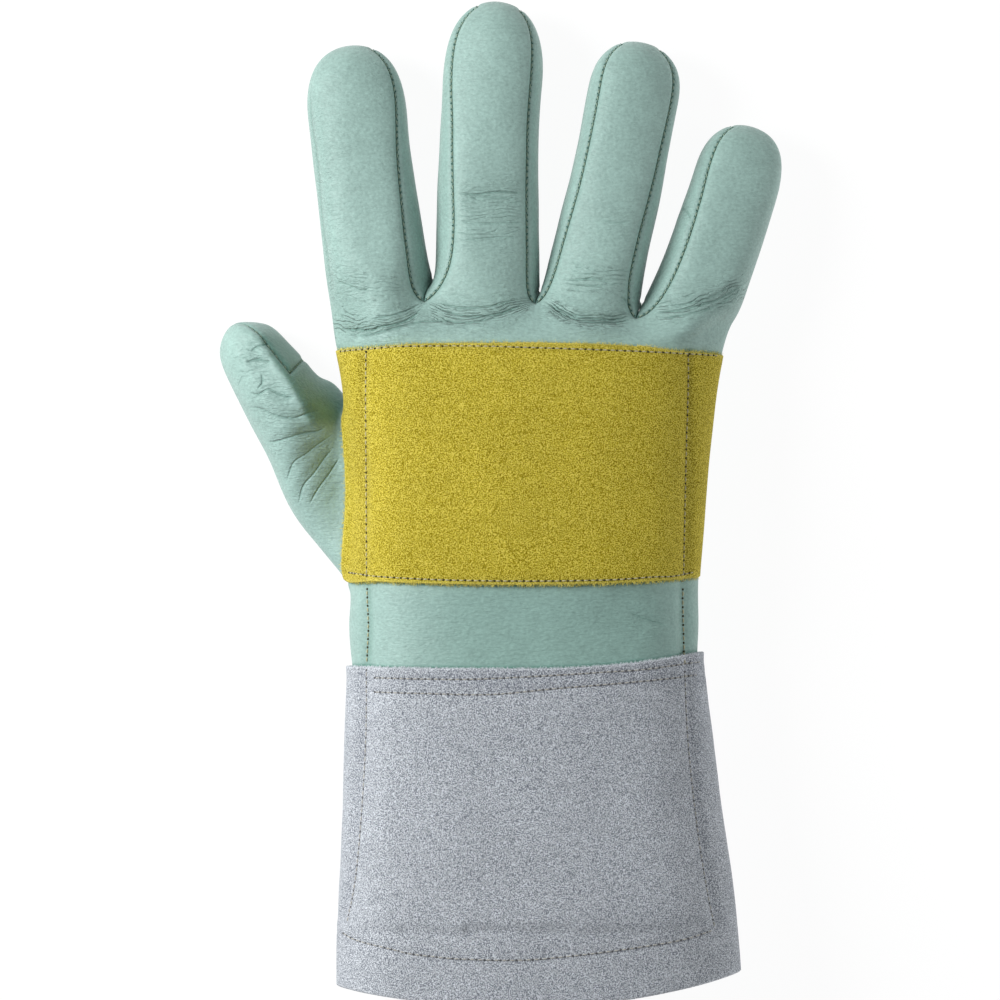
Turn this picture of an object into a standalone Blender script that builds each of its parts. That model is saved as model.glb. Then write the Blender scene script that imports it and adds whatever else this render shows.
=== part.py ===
"""A leather work glove with a long cuff, lying on its palm.

It is the glove of a right hand: the fingers point along +Y, the back of the hand faces up (+Z) and the thumb
reaches towards -X. The origin is where the palm rests on the surface.

One smooth surface runs over the whole glove, from the mouth of the cuff to the fingertips. It is made from rows
of points, worked out from the sizes below and smoothed by subdivision. Each piece of leather is a part of that
surface, given its own thickness, with a small gap to the pieces that it is sewn to.
"""

import math
from collections import namedtuple

import bmesh
import bpy
import numpy as np
from mathutils import Vector

MM = 0.001

# Leather: the walls of the pieces, the gap in a seam and the gap under a piece that is sewn on top of another.
HAND_WALL = 1.5 * MM
PATCH_WALL = 1.3 * MM
CUFF_WALL = 1.6 * MM
SEAM_GAP = 0.3 * MM
PATCH_INSET = 1.0 * MM  # the patch's edges lie this far inside the seams beside it
LAYER_GAP = 0.3 * MM

# The hand, from the top edge of the cuff to the crotch of the fingers. Its middle line is at x = 0.
HAND_LENGTH = 111.6 * MM
HAND_WIDTH = 118.6 * MM
HAND_HEIGHT = 43.0 * MM
ORIGIN_ALONG = 0.555  # share of the hand's length that lies between the cuff and the origin
SIDE_HEIGHT = 0.42  # how high the widest line lies between sole and crown
CROWN_ROUND = 2.3  # exponents of the rounded sections: 2 is an ellipse, more is squarer
SOLE_ROUND = 3.0
STITCH_DENT = 0.9 * MM  # how far the stitched lines beside the back are drawn in

# The cuff. Its sizes are those of its outside.
CUFF_LENGTH = 101.3 * MM
MOUTH_WIDTH = 123.8 * MM
MOUTH_HEIGHT = 52.0 * MM
MOUTH_SHIFT = 4.5 * MM  # the mouth's middle lies this far to the little finger's side
CUFF_SOLE = 1.4 * MM  # the surface under the cuff starts this low and is then pressed flat

# The thumb leaves the side of the hand and leans away from the index finger.
THUMB_LENGTH = 59.0 * MM
THUMB_WIDTH = 26.8 * MM
THUMB_HEIGHT = 25.0 * MM
THUMB_LEAN = math.radians(33)
THUMB_ROOT_X = -0.486  # share of the hand's width
THUMB_ROOT_ALONG = 0.503  # share of the hand's length

# Lengthwise lines on the hand and cuff, as shares of the half width. The outer two are the stitched lines.
COLUMNS = (-0.88, -0.70, -0.46, -0.21, 0.03, 0.27, 0.50, 0.71, 0.88)

# along: share of the hand's length above the cuff. left, right: shares of its width from the middle line.
# crown, sole: shares of its height. rise_left, rise_right: how far the row's ends lie up the hand, as shares of
# its width. A sole below the surface that the glove lies on is pressed flat.
HandRow = namedtuple("HandRow", "name along left right crown sole rise_left rise_right")
HAND_ROWS = (
    HandRow("patch_top", 0.883, 0.474, 0.505, 0.870, -0.007, -0.010, -0.026),
    HandRow("thumb_crotch", 0.700, 0.456, 0.479, 0.955, -0.014, -0.004, -0.014),
    HandRow("palm", 0.525, 0.452, 0.466, 0.985, -0.016, 0.000, 0.000),
    HandRow("thumb_heel", 0.380, 0.453, 0.458, 1.000, -0.014, 0.004, 0.008),
    HandRow("patch_bottom", 0.228, 0.456, 0.452, 0.990, 0.000, 0.010, 0.018),
    HandRow("wrist", 0.117, 0.456, 0.453, 0.975, 0.025, 0.006, 0.026),
    HandRow("cuff_top", 0.000, 0.442, 0.450, 0.972, 0.056, 0.003, 0.040),
)

# along: share of the cuff's length below its top edge. flare: how far it has widened from wrist to mouth.
# rise_left, rise_right: as above. The hand's leather ends inside the cuff at the first of these rows.
CuffRow = namedtuple("CuffRow", "name along flare rise_left rise_right")
CUFF_ROWS = (
    CuffRow("hand_end", 0.087, 0.06, 0.004, 0.041),
    CuffRow("forearm", 0.300, 0.26, 0.010, 0.046),
    CuffRow("middle", 0.550, 0.57, 0.022, 0.056),
    CuffRow("hem_stitches", 0.800, 0.88, 0.040, 0.073),
    CuffRow("mouth", 1.000, 1.00, 0.041, 0.077),
)

# root_x, root_along: shares of the hand's width and length. lean, curl: how far the finger's middle line strays
# sideways, straight and curved, as shares of its length. tip: length of the rounded tip.
Finger = namedtuple("Finger", "name root_x root_along length width height tip lean curl")
FINGERS = (
    Finger("index", -0.361, 1.000, 78.7 * MM, 30.2 * MM, 26.0 * MM, 17.5 * MM, -0.184, 0.056),
    Finger("middle", -0.095, 1.000, 92.1 * MM, 30.4 * MM, 26.5 * MM, 20.0 * MM, -0.014, 0.056),
    Finger("ring", 0.168, 0.997, 79.9 * MM, 27.7 * MM, 25.0 * MM, 13.5 * MM, 0.240, -0.040),
    Finger("little", 0.420, 0.954, 59.2 * MM, 27.0 * MM, 23.0 * MM, 14.0 * MM, 0.420, -0.090),
)

# along: share of the finger below its rounded tip. width, top, sole: shares of the finger's width and height.
# seam: where the side strips begin, as a share of the half width.
FingerRow = namedtuple("FingerRow", "along width top sole seam")
FINGER_ROWS = (
    FingerRow(0.20, 1.050, 1.18, 0.03, 0.68),
    FingerRow(0.50, 1.010, 1.12, 0.10, 0.72),
    FingerRow(0.78, 0.985, 1.03, 0.07, 0.76),
    FingerRow(1.00, 0.975, 0.93, -0.02, 0.80),
)
TipRow = namedtuple("TipRow", "turn seam")
TIP_ROWS = (
    TipRow(math.radians(36), 0.90),
    TipRow(math.radians(64), 0.95),
)
FINGER_SIDE_HEIGHT = 0.47
FINGER_ROUND = 2.4
TIP_HEIGHT = 0.42  # height of the very tip, as a share of the finger's height

# The crotch between two fingers: where the back's seam, the middle of the strips and the palm's seam lie, as
# shares of the hand's width and length.
Crotch = namedtuple("Crotch", "back_x back_along web_x web_along palm_x palm_along")
CROTCHES = (
    Crotch(-0.260, 1.000, -0.229, 1.062, -0.236, 1.040),
    Crotch(0.028, 0.997, 0.044, 1.022, 0.040, 1.012),
    Crotch(0.285, 0.954, 0.303, 0.995, 0.298, 0.984),
)
CROTCH_BACK_HEIGHT = 0.62  # shares of the hand's height
CROTCH_WEB_HEIGHT = 0.36
CROTCH_PALM_HEIGHT = 0.11

# The row where fingers and hand meet. knuckle: how far each finger's root lies below its crotches.
KNUCKLE_DROPS = (0.030, 0.018, 0.026, 0.034)  # shares of the hand's length
KNUCKLE_HEIGHT = 0.770
KNUCKLE_SOLE = -0.010
OUTER_ALONG = 0.937
OUTER_LEFT = 0.490
OUTER_RIGHT = 0.534

# share: of the thumb's length. width, top, sole: shares of its width and height. turn: the row's slant.
ThumbRow = namedtuple("ThumbRow", "share width top sole turn")
THUMB_ROWS = (
    ThumbRow(0.18, 1.44, 0.80, -0.01, math.radians(74)),
    ThumbRow(0.38, 1.18, 1.00, -0.02, math.radians(62)),
    ThumbRow(0.56, 1.00, 1.00, -0.02, math.radians(53)),
    ThumbRow(0.73, 0.83, 0.92, -0.01, math.radians(44)),
    ThumbRow(0.89, 0.66, 0.76, 0.08, math.radians(36)),
)
THUMB_TIP_HEIGHT = 0.40
THUMB_CROSS_SEAM = 3  # from this row to the tip the thumb's inner side belongs to its front piece
# The thumb's section, from the ridge beside the index finger round to the inner side: across and up.
ThumbPoint = namedtuple("ThumbPoint", "across up")
THUMB_SECTION = (
    ThumbPoint(-0.90, 0.68),
    ThumbPoint(-0.34, 1.00),
    ThumbPoint(0.34, 0.97),
    ThumbPoint(0.90, 0.64),
    ThumbPoint(0.90, 0.20),
    ThumbPoint(0.34, 0.00),
    ThumbPoint(-0.34, 0.00),
    ThumbPoint(-0.90, 0.22),
)
THUMB_BACK_FACES = range(0, 4)  # faces round the thumb, counted from the first point
THUMB_INNER_FACE = 7

FIT_ROUNDS = 2
SUBDIVISIONS = 1
DIRECTION_ROUNDS = 2
SHARPEST_MITRE = 0.2  # stops the points of a sharp corner from running far along the leather
SHARP_EDGE = math.radians(50)  # edges that turn more than this are drawn sharp

# The ring of points round the hand: the left side, the back from left to right, the right side, the palm back.
RING = 2 * len(COLUMNS) + 2
LEFT = 0
BACK = range(1, 1 + len(COLUMNS))
RIGHT = BACK.stop
BACK_FACES = range(LEFT, RIGHT)
PALM_FACES = range(RIGHT, RING)
PATCH_ROW_FACES = range(1, 5)  # rows of faces on the hand that the patch covers
THUMB_ROW_FACES = range(2, 5)  # rows of faces on the hand that the thumb's root opens
THUMB_RING_FACE = RING - 1

Material = namedtuple("Material", "colour roughness")
GRAIN = Material((0.345, 0.510, 0.450), 0.55)
PATCH_SUEDE = Material((0.600, 0.500, 0.060), 0.95)
CUFF_SUEDE = Material((0.430, 0.465, 0.500), 0.95)


def hand_y(along):
    """The place along the hand, from a share of its length above the cuff."""
    return (along - ORIGIN_ALONG) * HAND_LENGTH


def bulge(share, exponent):
    """How high a rounded section still is at this share of its half width."""
    return (1 - abs(share) ** exponent) ** (1 / exponent)


def hand_ring(left, right, crown, sole, y, rise_left, rise_right):
    """The points round one row of the hand or cuff, from real sizes."""
    side = sole + SIDE_HEIGHT * (crown - sole)

    def point(share, height):
        reach, rise = (left, rise_left) if share < 0 else (right, rise_right)
        return Vector((share * reach, y + rise * share * share, height))

    def on_back(share):
        dent = STITCH_DENT if abs(share) == max(COLUMNS) else 0
        return point(share, side + (crown - side) * bulge(share, CROWN_ROUND) - dent)

    def on_palm(share):
        return point(share, side - (side - sole) * bulge(share, SOLE_ROUND))

    back = [on_back(share) for share in COLUMNS]
    palm = [on_palm(share) for share in reversed(COLUMNS)]
    return [point(-1, side), *back, point(1, side), *palm]


def hand_rows():
    """The rings of the hand below the knuckles, down to the top edge of the cuff."""
    return [
        hand_ring(
            row.left * HAND_WIDTH,
            row.right * HAND_WIDTH,
            row.crown * HAND_HEIGHT,
            row.sole * HAND_HEIGHT,
            hand_y(row.along),
            row.rise_left * HAND_WIDTH,
            row.rise_right * HAND_WIDTH,
        )
        for row in HAND_ROWS
    ]


def cuff_rows():
    """The rings under the cuff's leather, which widen from the wrist to the mouth."""
    wrist = HAND_ROWS[-1]
    layer = CUFF_WALL + LAYER_GAP
    mouth_left = MOUTH_WIDTH / 2 - MOUTH_SHIFT - layer
    mouth_right = MOUTH_WIDTH / 2 + MOUTH_SHIFT - layer
    rings = []
    for row in CUFF_ROWS:
        flare = row.flare
        rings.append(
            hand_ring(
                (1 - flare) * wrist.left * HAND_WIDTH + flare * mouth_left,
                (1 - flare) * wrist.right * HAND_WIDTH + flare * mouth_right,
                (1 - flare) * wrist.crown * HAND_HEIGHT + flare * (MOUTH_HEIGHT - layer),
                CUFF_SOLE,
                hand_y(0) - row.along * CUFF_LENGTH,
                row.rise_left * HAND_WIDTH,
                row.rise_right * HAND_WIDTH,
            )
        )
    return rings


def finger_ring(centre, slant, half_width, top, sole, seam):
    """The eight points round a finger: back left, back, back right, right, palm right, palm, palm left, left."""
    across = Vector((math.cos(slant), -math.sin(slant), 0))
    side = sole + FINGER_SIDE_HEIGHT * (top - sole)
    shoulder = bulge(seam, FINGER_ROUND)
    section = (
        (-seam, side + (top - side) * shoulder),
        (0, top),
        (seam, side + (top - side) * shoulder),
        (1, side),
        (seam, side - (side - sole) * shoulder),
        (0, sole),
        (-seam, side - (side - sole) * shoulder),
        (-1, side),
    )
    return [centre + across * (share * half_width) + Vector((0, 0, height)) for share, height in section]


def finger_rows(finger):
    """A finger's rings from its root to its tip, then the tip itself."""
    body = finger.length - finger.tip

    def middle(reach):
        share = reach / finger.length
        stray = finger.lean * share + finger.curl * share * share
        x = finger.root_x * HAND_WIDTH + stray * finger.length
        slant = math.atan(finger.lean + 2 * finger.curl * share)
        return Vector((x, hand_y(finger.root_along) + reach, 0)), slant

    rings = []
    for row in FINGER_ROWS:
        centre, slant = middle(row.along * body)
        rings.append(
            finger_ring(
                centre,
                slant,
                row.width * finger.width / 2,
                row.top * finger.height,
                row.sole * finger.height,
                row.seam,
            )
        )
    last = FINGER_ROWS[-1]
    tip_z = TIP_HEIGHT * finger.height
    for row in TIP_ROWS:
        centre, slant = middle(body + finger.tip * math.sin(row.turn))
        shrink = math.cos(row.turn)
        rings.append(
            finger_ring(
                centre,
                slant,
                shrink * last.width * finger.width / 2,
                tip_z + shrink * (last.top * finger.height - tip_z),
                tip_z + shrink * (last.sole * finger.height - tip_z),
                row.seam,
            )
        )
    return rings, middle(finger.length)[0] + Vector((0, 0, tip_z))


def thumb_rows():
    """The thumb's rings from the side of the hand to its tip, then the tip itself."""
    root = Vector((THUMB_ROOT_X * HAND_WIDTH, hand_y(THUMB_ROOT_ALONG), 0))
    along = Vector((-math.sin(THUMB_LEAN), math.cos(THUMB_LEAN), 0))

    def point(share, turn, half_width, across, height):
        sideways = Vector((-math.cos(turn), -math.sin(turn), 0))
        middle = root + along * (share * THUMB_LENGTH)
        return middle + sideways * (across * half_width) + Vector((0, 0, height))

    rings = []
    for row in THUMB_ROWS:
        sole = row.sole * THUMB_HEIGHT
        depth = row.top * THUMB_HEIGHT - sole
        half_width = row.width * THUMB_WIDTH / 2
        rings.append(
            [
                point(row.share, row.turn, half_width, place.across, sole + depth * place.up)
                for place in THUMB_SECTION
            ]
        )
    return rings, point(1, 0, 0, 0, THUMB_TIP_HEIGHT * THUMB_HEIGHT)


def knuckle_points():
    """The ring where the fingers meet the hand, and the three webs between them."""

    def point(x, along, height):
        return Vector((x * HAND_WIDTH, hand_y(along), height * HAND_HEIGHT))

    outer = hand_ring(
        OUTER_LEFT * HAND_WIDTH,
        OUTER_RIGHT * HAND_WIDTH,
        KNUCKLE_HEIGHT * HAND_HEIGHT,
        KNUCKLE_SOLE * HAND_HEIGHT,
        hand_y(OUTER_ALONG),
        0,
        0,
    )
    ring = list(outer)
    for number, (finger, drop) in enumerate(zip(FINGERS, KNUCKLE_DROPS)):
        place = BACK[1 + 2 * number]
        root = finger.root_along - drop
        ring[place] = point(finger.root_x, root, KNUCKLE_HEIGHT)
        ring[RING - place] = point(finger.root_x, root, KNUCKLE_SOLE)
    for number, crotch in enumerate(CROTCHES):
        place = BACK[2 + 2 * number]
        ring[place] = point(crotch.back_x, crotch.back_along, CROTCH_BACK_HEIGHT)
        ring[RING - place] = point(crotch.palm_x, crotch.palm_along, CROTCH_PALM_HEIGHT)
    webs = [point(crotch.web_x, crotch.web_along, CROTCH_WEB_HEIGHT) for crotch in CROTCHES]
    return ring, webs


class Net:
    """The glove's points and four-sided faces. Each face keeps the names of the pieces that it belongs to."""

    def __init__(self):
        self.points = []
        self.faces = []
        self.pieces = []

    def add_points(self, points):
        first = len(self.points)
        self.points.extend(points)
        return list(range(first, len(self.points)))

    def add_face(self, corners, pieces):
        self.faces.append(corners)
        self.pieces.append(pieces)

    def add_band(self, lower, upper, pieces_of):
        """The faces between two rings of the same number of points. pieces_of names a column's pieces."""
        count = len(lower)
        for column in range(count):
            pieces = pieces_of(column)
            if pieces:
                after = (column + 1) % count
                self.add_face((lower[column], lower[after], upper[after], upper[column]), pieces)

    def drop_lone_points(self):
        """Removes the points inside the thumb's opening, which no face uses."""
        used = sorted({corner for face in self.faces for corner in face})
        place = {old: new for new, old in enumerate(used)}
        self.points = [self.points[old] for old in used]
        self.faces = [tuple(place[corner] for corner in face) for face in self.faces]


def add_hand(net, knuckles):
    """The bands of faces from the knuckles to the mouth of the cuff. Returns the rings of point numbers."""
    rings = [knuckles]
    rings += [net.add_points(ring) for ring in hand_rows() + cuff_rows()]
    cuffed_from = len(HAND_ROWS)
    hand_to = cuffed_from + 1
    for row, (upper, lower) in enumerate(zip(rings, rings[1:])):

        def pieces_of(column, row=row):
            if row in THUMB_ROW_FACES and column == THUMB_RING_FACE:
                return ()
            on_back = column in BACK_FACES
            pieces = []
            if row < hand_to:
                pieces.append("back_panel" if on_back else "palm_panel")
            if row in PATCH_ROW_FACES and on_back:
                pieces.append("back_patch")
            if row >= cuffed_from:
                pieces.append("cuff_back" if on_back else "cuff_palm")
            return tuple(pieces)

        net.add_band(lower, upper, pieces_of)
    return rings


def add_fingers(net, knuckles, webs):
    """The four fingers on the ring of the knuckles. A strip covers each side that faces another finger."""
    for number, finger in enumerate(FINGERS):
        left, middle, right = (BACK[2 * number + step] for step in range(3))
        is_first = number == 0
        is_last = number == len(FINGERS) - 1
        root = [
            knuckles[left],
            knuckles[middle],
            knuckles[right],
            knuckles[RIGHT] if is_last else webs[number],
            knuckles[RING - right],
            knuckles[RING - middle],
            knuckles[(RING - left) % RING],
            knuckles[LEFT] if is_first else webs[number - 1],
        ]
        towards_next = () if is_last else (f"{finger.name}_strip_{FINGERS[number + 1].name}_side",)
        towards_last = () if is_first else (f"{finger.name}_strip_{FINGERS[number - 1].name}_side",)
        pieces = (
            ("back_panel",),
            ("back_panel",),
            towards_next or ("back_panel",),
            towards_next or ("palm_panel",),
            ("palm_panel",),
            ("palm_panel",),
            towards_last or ("palm_panel",),
            towards_last or ("back_panel",),
        )
        rings, tip = finger_rows(finger)
        below = root
        for ring in rings:
            above = net.add_points(ring)
            net.add_band(below, above, lambda column: pieces[column])
            below = above
        (centre,) = net.add_points([tip])
        back_left, back, back_right, right_side, palm_right, palm, palm_left, left_side = below
        net.add_face((back_left, back, centre, left_side), ("back_panel",))
        net.add_face((back, back_right, right_side, centre), ("back_panel",))
        net.add_face((left_side, centre, palm, palm_left), ("palm_panel",))
        net.add_face((centre, right_side, palm_right, palm), ("palm_panel",))


def add_thumb(net, rings):
    """The thumb, from the opening in the side of the hand."""
    rows = range(THUMB_ROW_FACES.start, THUMB_ROW_FACES.stop + 1)
    upper_line = [rings[row][LEFT] for row in rows]
    lower_line = [rings[row][THUMB_RING_FACE] for row in reversed(rows)]
    below = upper_line + lower_line
    thumb_rings, tip = thumb_rows()
    for number, ring in enumerate(thumb_rings):
        on_front = number >= THUMB_CROSS_SEAM

        def pieces_of(column, on_front=on_front):
            is_inner = column == THUMB_INNER_FACE
            on_back = column in THUMB_BACK_FACES or (is_inner and not on_front)
            return ("thumb_back",) if on_back else ("thumb_front",)

        above = net.add_points(ring)
        net.add_band(below, above, pieces_of)
        below = above
    (centre,) = net.add_points([tip])
    inner, crest, slope, outer, heel, pad, pad_inner, inner_heel = below
    net.add_face((inner, crest, slope, centre), ("thumb_back",))
    net.add_face((slope, outer, heel, centre), ("thumb_back",))
    net.add_face((heel, pad, pad_inner, centre), ("thumb_front",))
    net.add_face((pad_inner, inner_heel, inner, centre), ("thumb_front",))


def glove_net():
    net = Net()
    ring, webs = knuckle_points()
    knuckles = net.add_points(ring)
    web_numbers = net.add_points(webs)
    rings = add_hand(net, knuckles)
    add_fingers(net, knuckles, web_numbers)
    add_thumb(net, rings)
    net.drop_lone_points()
    return net


def fitted(points, faces):
    """Moves the net's points so that the smooth surface it stands for passes through where they were."""
    wanted = np.array(points, float)
    quads = np.array(faces)
    count = len(wanted)
    around = np.bincount(quads.ravel(), minlength=count)
    edges = {}
    for face in faces:
        for a, b in zip(face, face[1:] + face[:1]):
            edges.setdefault(frozenset((a, b)), []).append((a, b))
    rim = {}
    for ends in (edge[0] for edge in edges.values() if len(edge) == 1):
        for a, b in (ends, ends[::-1]):
            rim.setdefault(a, []).append(b)
    rim_points = np.array(sorted(rim))
    rim_beside = np.array([rim[point] for point in rim_points])
    weight = (around * (around + 5))[:, None]
    moved = wanted.copy()
    for _ in range(FIT_ROUNDS):
        smooth = moved * (around * around)[:, None]
        for corner in range(4):
            beside = moved[quads[:, corner - 1]] + moved[quads[:, (corner + 1) % 4]]
            across = moved[quads[:, corner - 2]]
            np.add.at(smooth, quads[:, corner], 2 * beside + across)
        smooth /= weight
        smooth[rim_points] = (4 * moved[rim_points] + moved[rim_beside].sum(axis=1)) / 6
        moved += wanted - smooth
    return moved


def smooth_surface(net):
    """The net subdivided: a bmesh whose faces know their net face."""
    mesh = bpy.data.meshes.new("surface")
    mesh.from_pydata([tuple(point) for point in fitted(net.points, net.faces)], [], net.faces)
    numbers = mesh.attributes.new("net_face", "INT", "FACE")
    numbers.data.foreach_set("value", range(len(net.faces)))
    guide = bpy.data.objects.new("surface", mesh)
    bpy.context.scene.collection.objects.link(guide)
    smoothing = guide.modifiers.new("Smooth", "SUBSURF")
    smoothing.levels = SUBDIVISIONS
    smoothing.render_levels = SUBDIVISIONS
    evaluated = guide.evaluated_get(bpy.context.evaluated_depsgraph_get())
    surface = bmesh.new()
    surface.from_mesh(evaluated.to_mesh())
    evaluated.to_mesh_clear()
    bpy.data.objects.remove(guide)
    bpy.data.meshes.remove(mesh)
    bmesh.ops.recalc_face_normals(surface, faces=surface.faces)
    return surface


def press_flat(surface, net):
    """Flattens the glove where it rests, and splits its faces into triangles.

    Under the cuff the surface stays higher, by the cuff's thickness and the gap above it.
    """
    layer = surface.faces.layers.int["net_face"]
    for vert in surface.verts:
        pieces = {piece for face in vert.link_faces for piece in net.pieces[face[layer]]}
        floor = CUFF_WALL + LAYER_GAP if pieces & {"cuff_palm", "cuff_back"} else 0
        vert.co.z = max(vert.co.z, floor)
    bmesh.ops.triangulate(surface, faces=surface.faces, quad_method="SHORT_EDGE")
    surface.verts.index_update()
    surface.normal_update()


def leather_directions(surface):
    """The direction through the leather at each point: the normals, evened out over neighbouring points."""
    directions = {vert: vert.normal.copy() for vert in surface.verts}
    for _ in range(DIRECTION_ROUNDS):
        directions = {
            vert: sum((directions[edge.other_vert(vert)] for edge in vert.link_edges), 2 * direction).normalized()
            for vert, direction in directions.items()
        }
    return directions


def edge_shift(vert, faces, inset):
    """How far a point on a piece's edge is drawn in along the leather, mitred where the edge turns."""
    inward = []
    for edge in vert.link_edges:
        beside = [face for face in edge.link_faces if face in faces]
        if len(beside) == 1 and len(edge.link_faces) > 1:
            face = beside[0]
            along = (edge.verts[1].co - edge.verts[0].co).normalized()
            across = face.normal.cross(along)
            if across.dot(face.calc_center_median() - edge.verts[0].co) < 0:
                across.negate()
            inward.append(across)
    if not inward:
        return Vector()
    if len(inward) == 1:
        return inward[0] * inset
    middle = inward[0] + inward[1]
    reach = 1 + inward[0].dot(inward[1])
    return middle * (inset / max(reach, SHARPEST_MITRE))


def add_wall(solid, inside, outside, a, b):
    """The cut edge of the leather between two points, split the same way on both sides of a seam."""
    if a.index < b.index:
        solid.faces.new((outside[b], outside[a], inside[b]))
        solid.faces.new((outside[a], inside[a], inside[b]))
    else:
        solid.faces.new((outside[b], outside[a], inside[a]))
        solid.faces.new((outside[b], inside[a], inside[b]))


def leather_piece(name, surface, directions, net, under, over, material, inset=SEAM_GAP / 2):
    """One piece of leather as a closed solid: its faces of the surface, from under to over it."""
    layer = surface.faces.layers.int["net_face"]
    faces = [face for face in surface.faces if name in net.pieces[face[layer]]]
    chosen = set(faces)
    solid = bmesh.new()
    inside = {}
    outside = {}
    for vert in {vert for face in faces for vert in face.verts}:
        place = vert.co + edge_shift(vert, chosen, inset)
        outside[vert] = solid.verts.new(place + directions[vert] * over)
        inside[vert] = solid.verts.new(place + directions[vert] * under)
    for face in faces:
        solid.faces.new([outside[vert] for vert in face.verts])
        solid.faces.new([inside[vert] for vert in reversed(face.verts)])
        for loop in face.loops:
            if sum(other in chosen for other in loop.edge.link_faces) == 1:
                add_wall(solid, inside, outside, loop.vert, loop.link_loop_next.vert)
    mesh = bpy.data.meshes.new(name)
    solid.to_mesh(mesh)
    solid.free()
    mesh.shade_smooth()
    mesh.set_sharp_from_angle(angle=SHARP_EDGE)
    piece = bpy.data.objects.new(name, mesh)
    bpy.context.scene.collection.objects.link(piece)
    mesh.materials.append(material)
    return piece


def leather(name, finish):
    """A leather's material."""
    material = bpy.data.materials.new(name)
    material.use_nodes = True
    shader = material.node_tree.nodes["Principled BSDF"]
    shader.inputs["Base Color"].default_value = (*finish.colour, 1)
    shader.inputs["Roughness"].default_value = finish.roughness
    shader.inputs["Metallic"].default_value = 0
    return material


def main():
    for obj in list(bpy.data.objects):
        bpy.data.objects.remove(obj)
    net = glove_net()
    surface = smooth_surface(net)
    press_flat(surface, net)
    directions = leather_directions(surface)
    grain = leather("grain_leather", GRAIN)
    patch = leather("patch_suede", PATCH_SUEDE)
    cuff = leather("cuff_suede", CUFF_SUEDE)
    names = {name for pieces in net.pieces for name in pieces}
    for name in sorted(names - {"back_patch", "cuff_back", "cuff_palm"}):
        leather_piece(name, surface, directions, net, -HAND_WALL, 0, grain)
    patch_over = LAYER_GAP + PATCH_WALL
    leather_piece("back_patch", surface, directions, net, LAYER_GAP, patch_over, patch, PATCH_INSET)
    for name in ("cuff_back", "cuff_palm"):
        leather_piece(name, surface, directions, net, LAYER_GAP, LAYER_GAP + CUFF_WALL, cuff)
    surface.free()


main()
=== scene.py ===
"""The looks of the leather work glove: its finished leather, seams, stitches, creases and fuzz.

The glove's surface is made from the same rows of points as its CAD model, but smoothed further. Each piece
of leather is cut from that surface, with its edges turned into the seams or left raw, and stands for the CAD
node of its name. Creases, stitched grooves and padding are raised and lowered along the lines named below.
"""

import math
import random
from collections import namedtuple
from functools import reduce

import bmesh
import bpy
import numpy as np
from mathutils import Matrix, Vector, kdtree, noise
from mathutils.bvhtree import BVHTree

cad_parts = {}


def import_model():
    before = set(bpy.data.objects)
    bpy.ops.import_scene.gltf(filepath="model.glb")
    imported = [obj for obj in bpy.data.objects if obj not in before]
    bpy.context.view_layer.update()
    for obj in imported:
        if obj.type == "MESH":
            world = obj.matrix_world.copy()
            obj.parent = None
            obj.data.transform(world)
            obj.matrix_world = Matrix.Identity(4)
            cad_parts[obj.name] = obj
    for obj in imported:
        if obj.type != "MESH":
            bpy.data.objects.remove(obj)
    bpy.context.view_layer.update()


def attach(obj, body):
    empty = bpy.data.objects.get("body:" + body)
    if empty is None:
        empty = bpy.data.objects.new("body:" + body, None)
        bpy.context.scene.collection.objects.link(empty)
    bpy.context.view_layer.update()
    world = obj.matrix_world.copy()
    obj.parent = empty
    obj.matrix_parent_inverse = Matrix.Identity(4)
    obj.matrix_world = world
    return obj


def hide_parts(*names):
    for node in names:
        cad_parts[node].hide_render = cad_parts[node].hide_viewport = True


MM = 0.001

# Leather: the walls of the pieces, the gap in a seam and the gap under a piece that is sewn on another.
HAND_WALL = 1.5 * MM
PATCH_WALL = 1.3 * MM
CUFF_WALL = 1.6 * MM
SEAM_GAP = 0.3 * MM
LAYER_GAP = 0.3 * MM

# The hand, from the top edge of the cuff to the crotch of the fingers. Its middle line is at x = 0.
HAND_LENGTH = 111.6 * MM
HAND_WIDTH = 118.6 * MM
HAND_HEIGHT = 43.0 * MM
ORIGIN_ALONG = 0.555  # share of the hand's length that lies between the cuff and the origin
SIDE_HEIGHT = 0.42  # how high the widest line lies between sole and crown
CROWN_ROUND = 2.3  # exponents of the rounded sections: 2 is an ellipse, more is squarer
SOLE_ROUND = 3.0
STITCH_DENT = 0.9 * MM  # how far the stitched lines beside the back are drawn in

# The cuff. Its sizes are those of its outside.
CUFF_LENGTH = 101.3 * MM
MOUTH_WIDTH = 123.8 * MM
MOUTH_HEIGHT = 52.0 * MM
MOUTH_SHIFT = 4.5 * MM  # the mouth's middle lies this far to the little finger's side
CUFF_SOLE = 1.4 * MM  # the surface under the cuff starts this low and is then pressed flat

# The thumb leaves the side of the hand and leans away from the index finger.
THUMB_LENGTH = 59.0 * MM
THUMB_WIDTH = 26.8 * MM
THUMB_HEIGHT = 25.0 * MM
THUMB_LEAN = math.radians(33)
THUMB_ROOT_X = -0.486  # share of the hand's width
THUMB_ROOT_ALONG = 0.503  # share of the hand's length

# Lengthwise lines on the hand and cuff, as shares of the half width. The outer two are the stitched lines.
COLUMNS = (-0.88, -0.70, -0.46, -0.21, 0.03, 0.27, 0.50, 0.71, 0.88)

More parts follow.
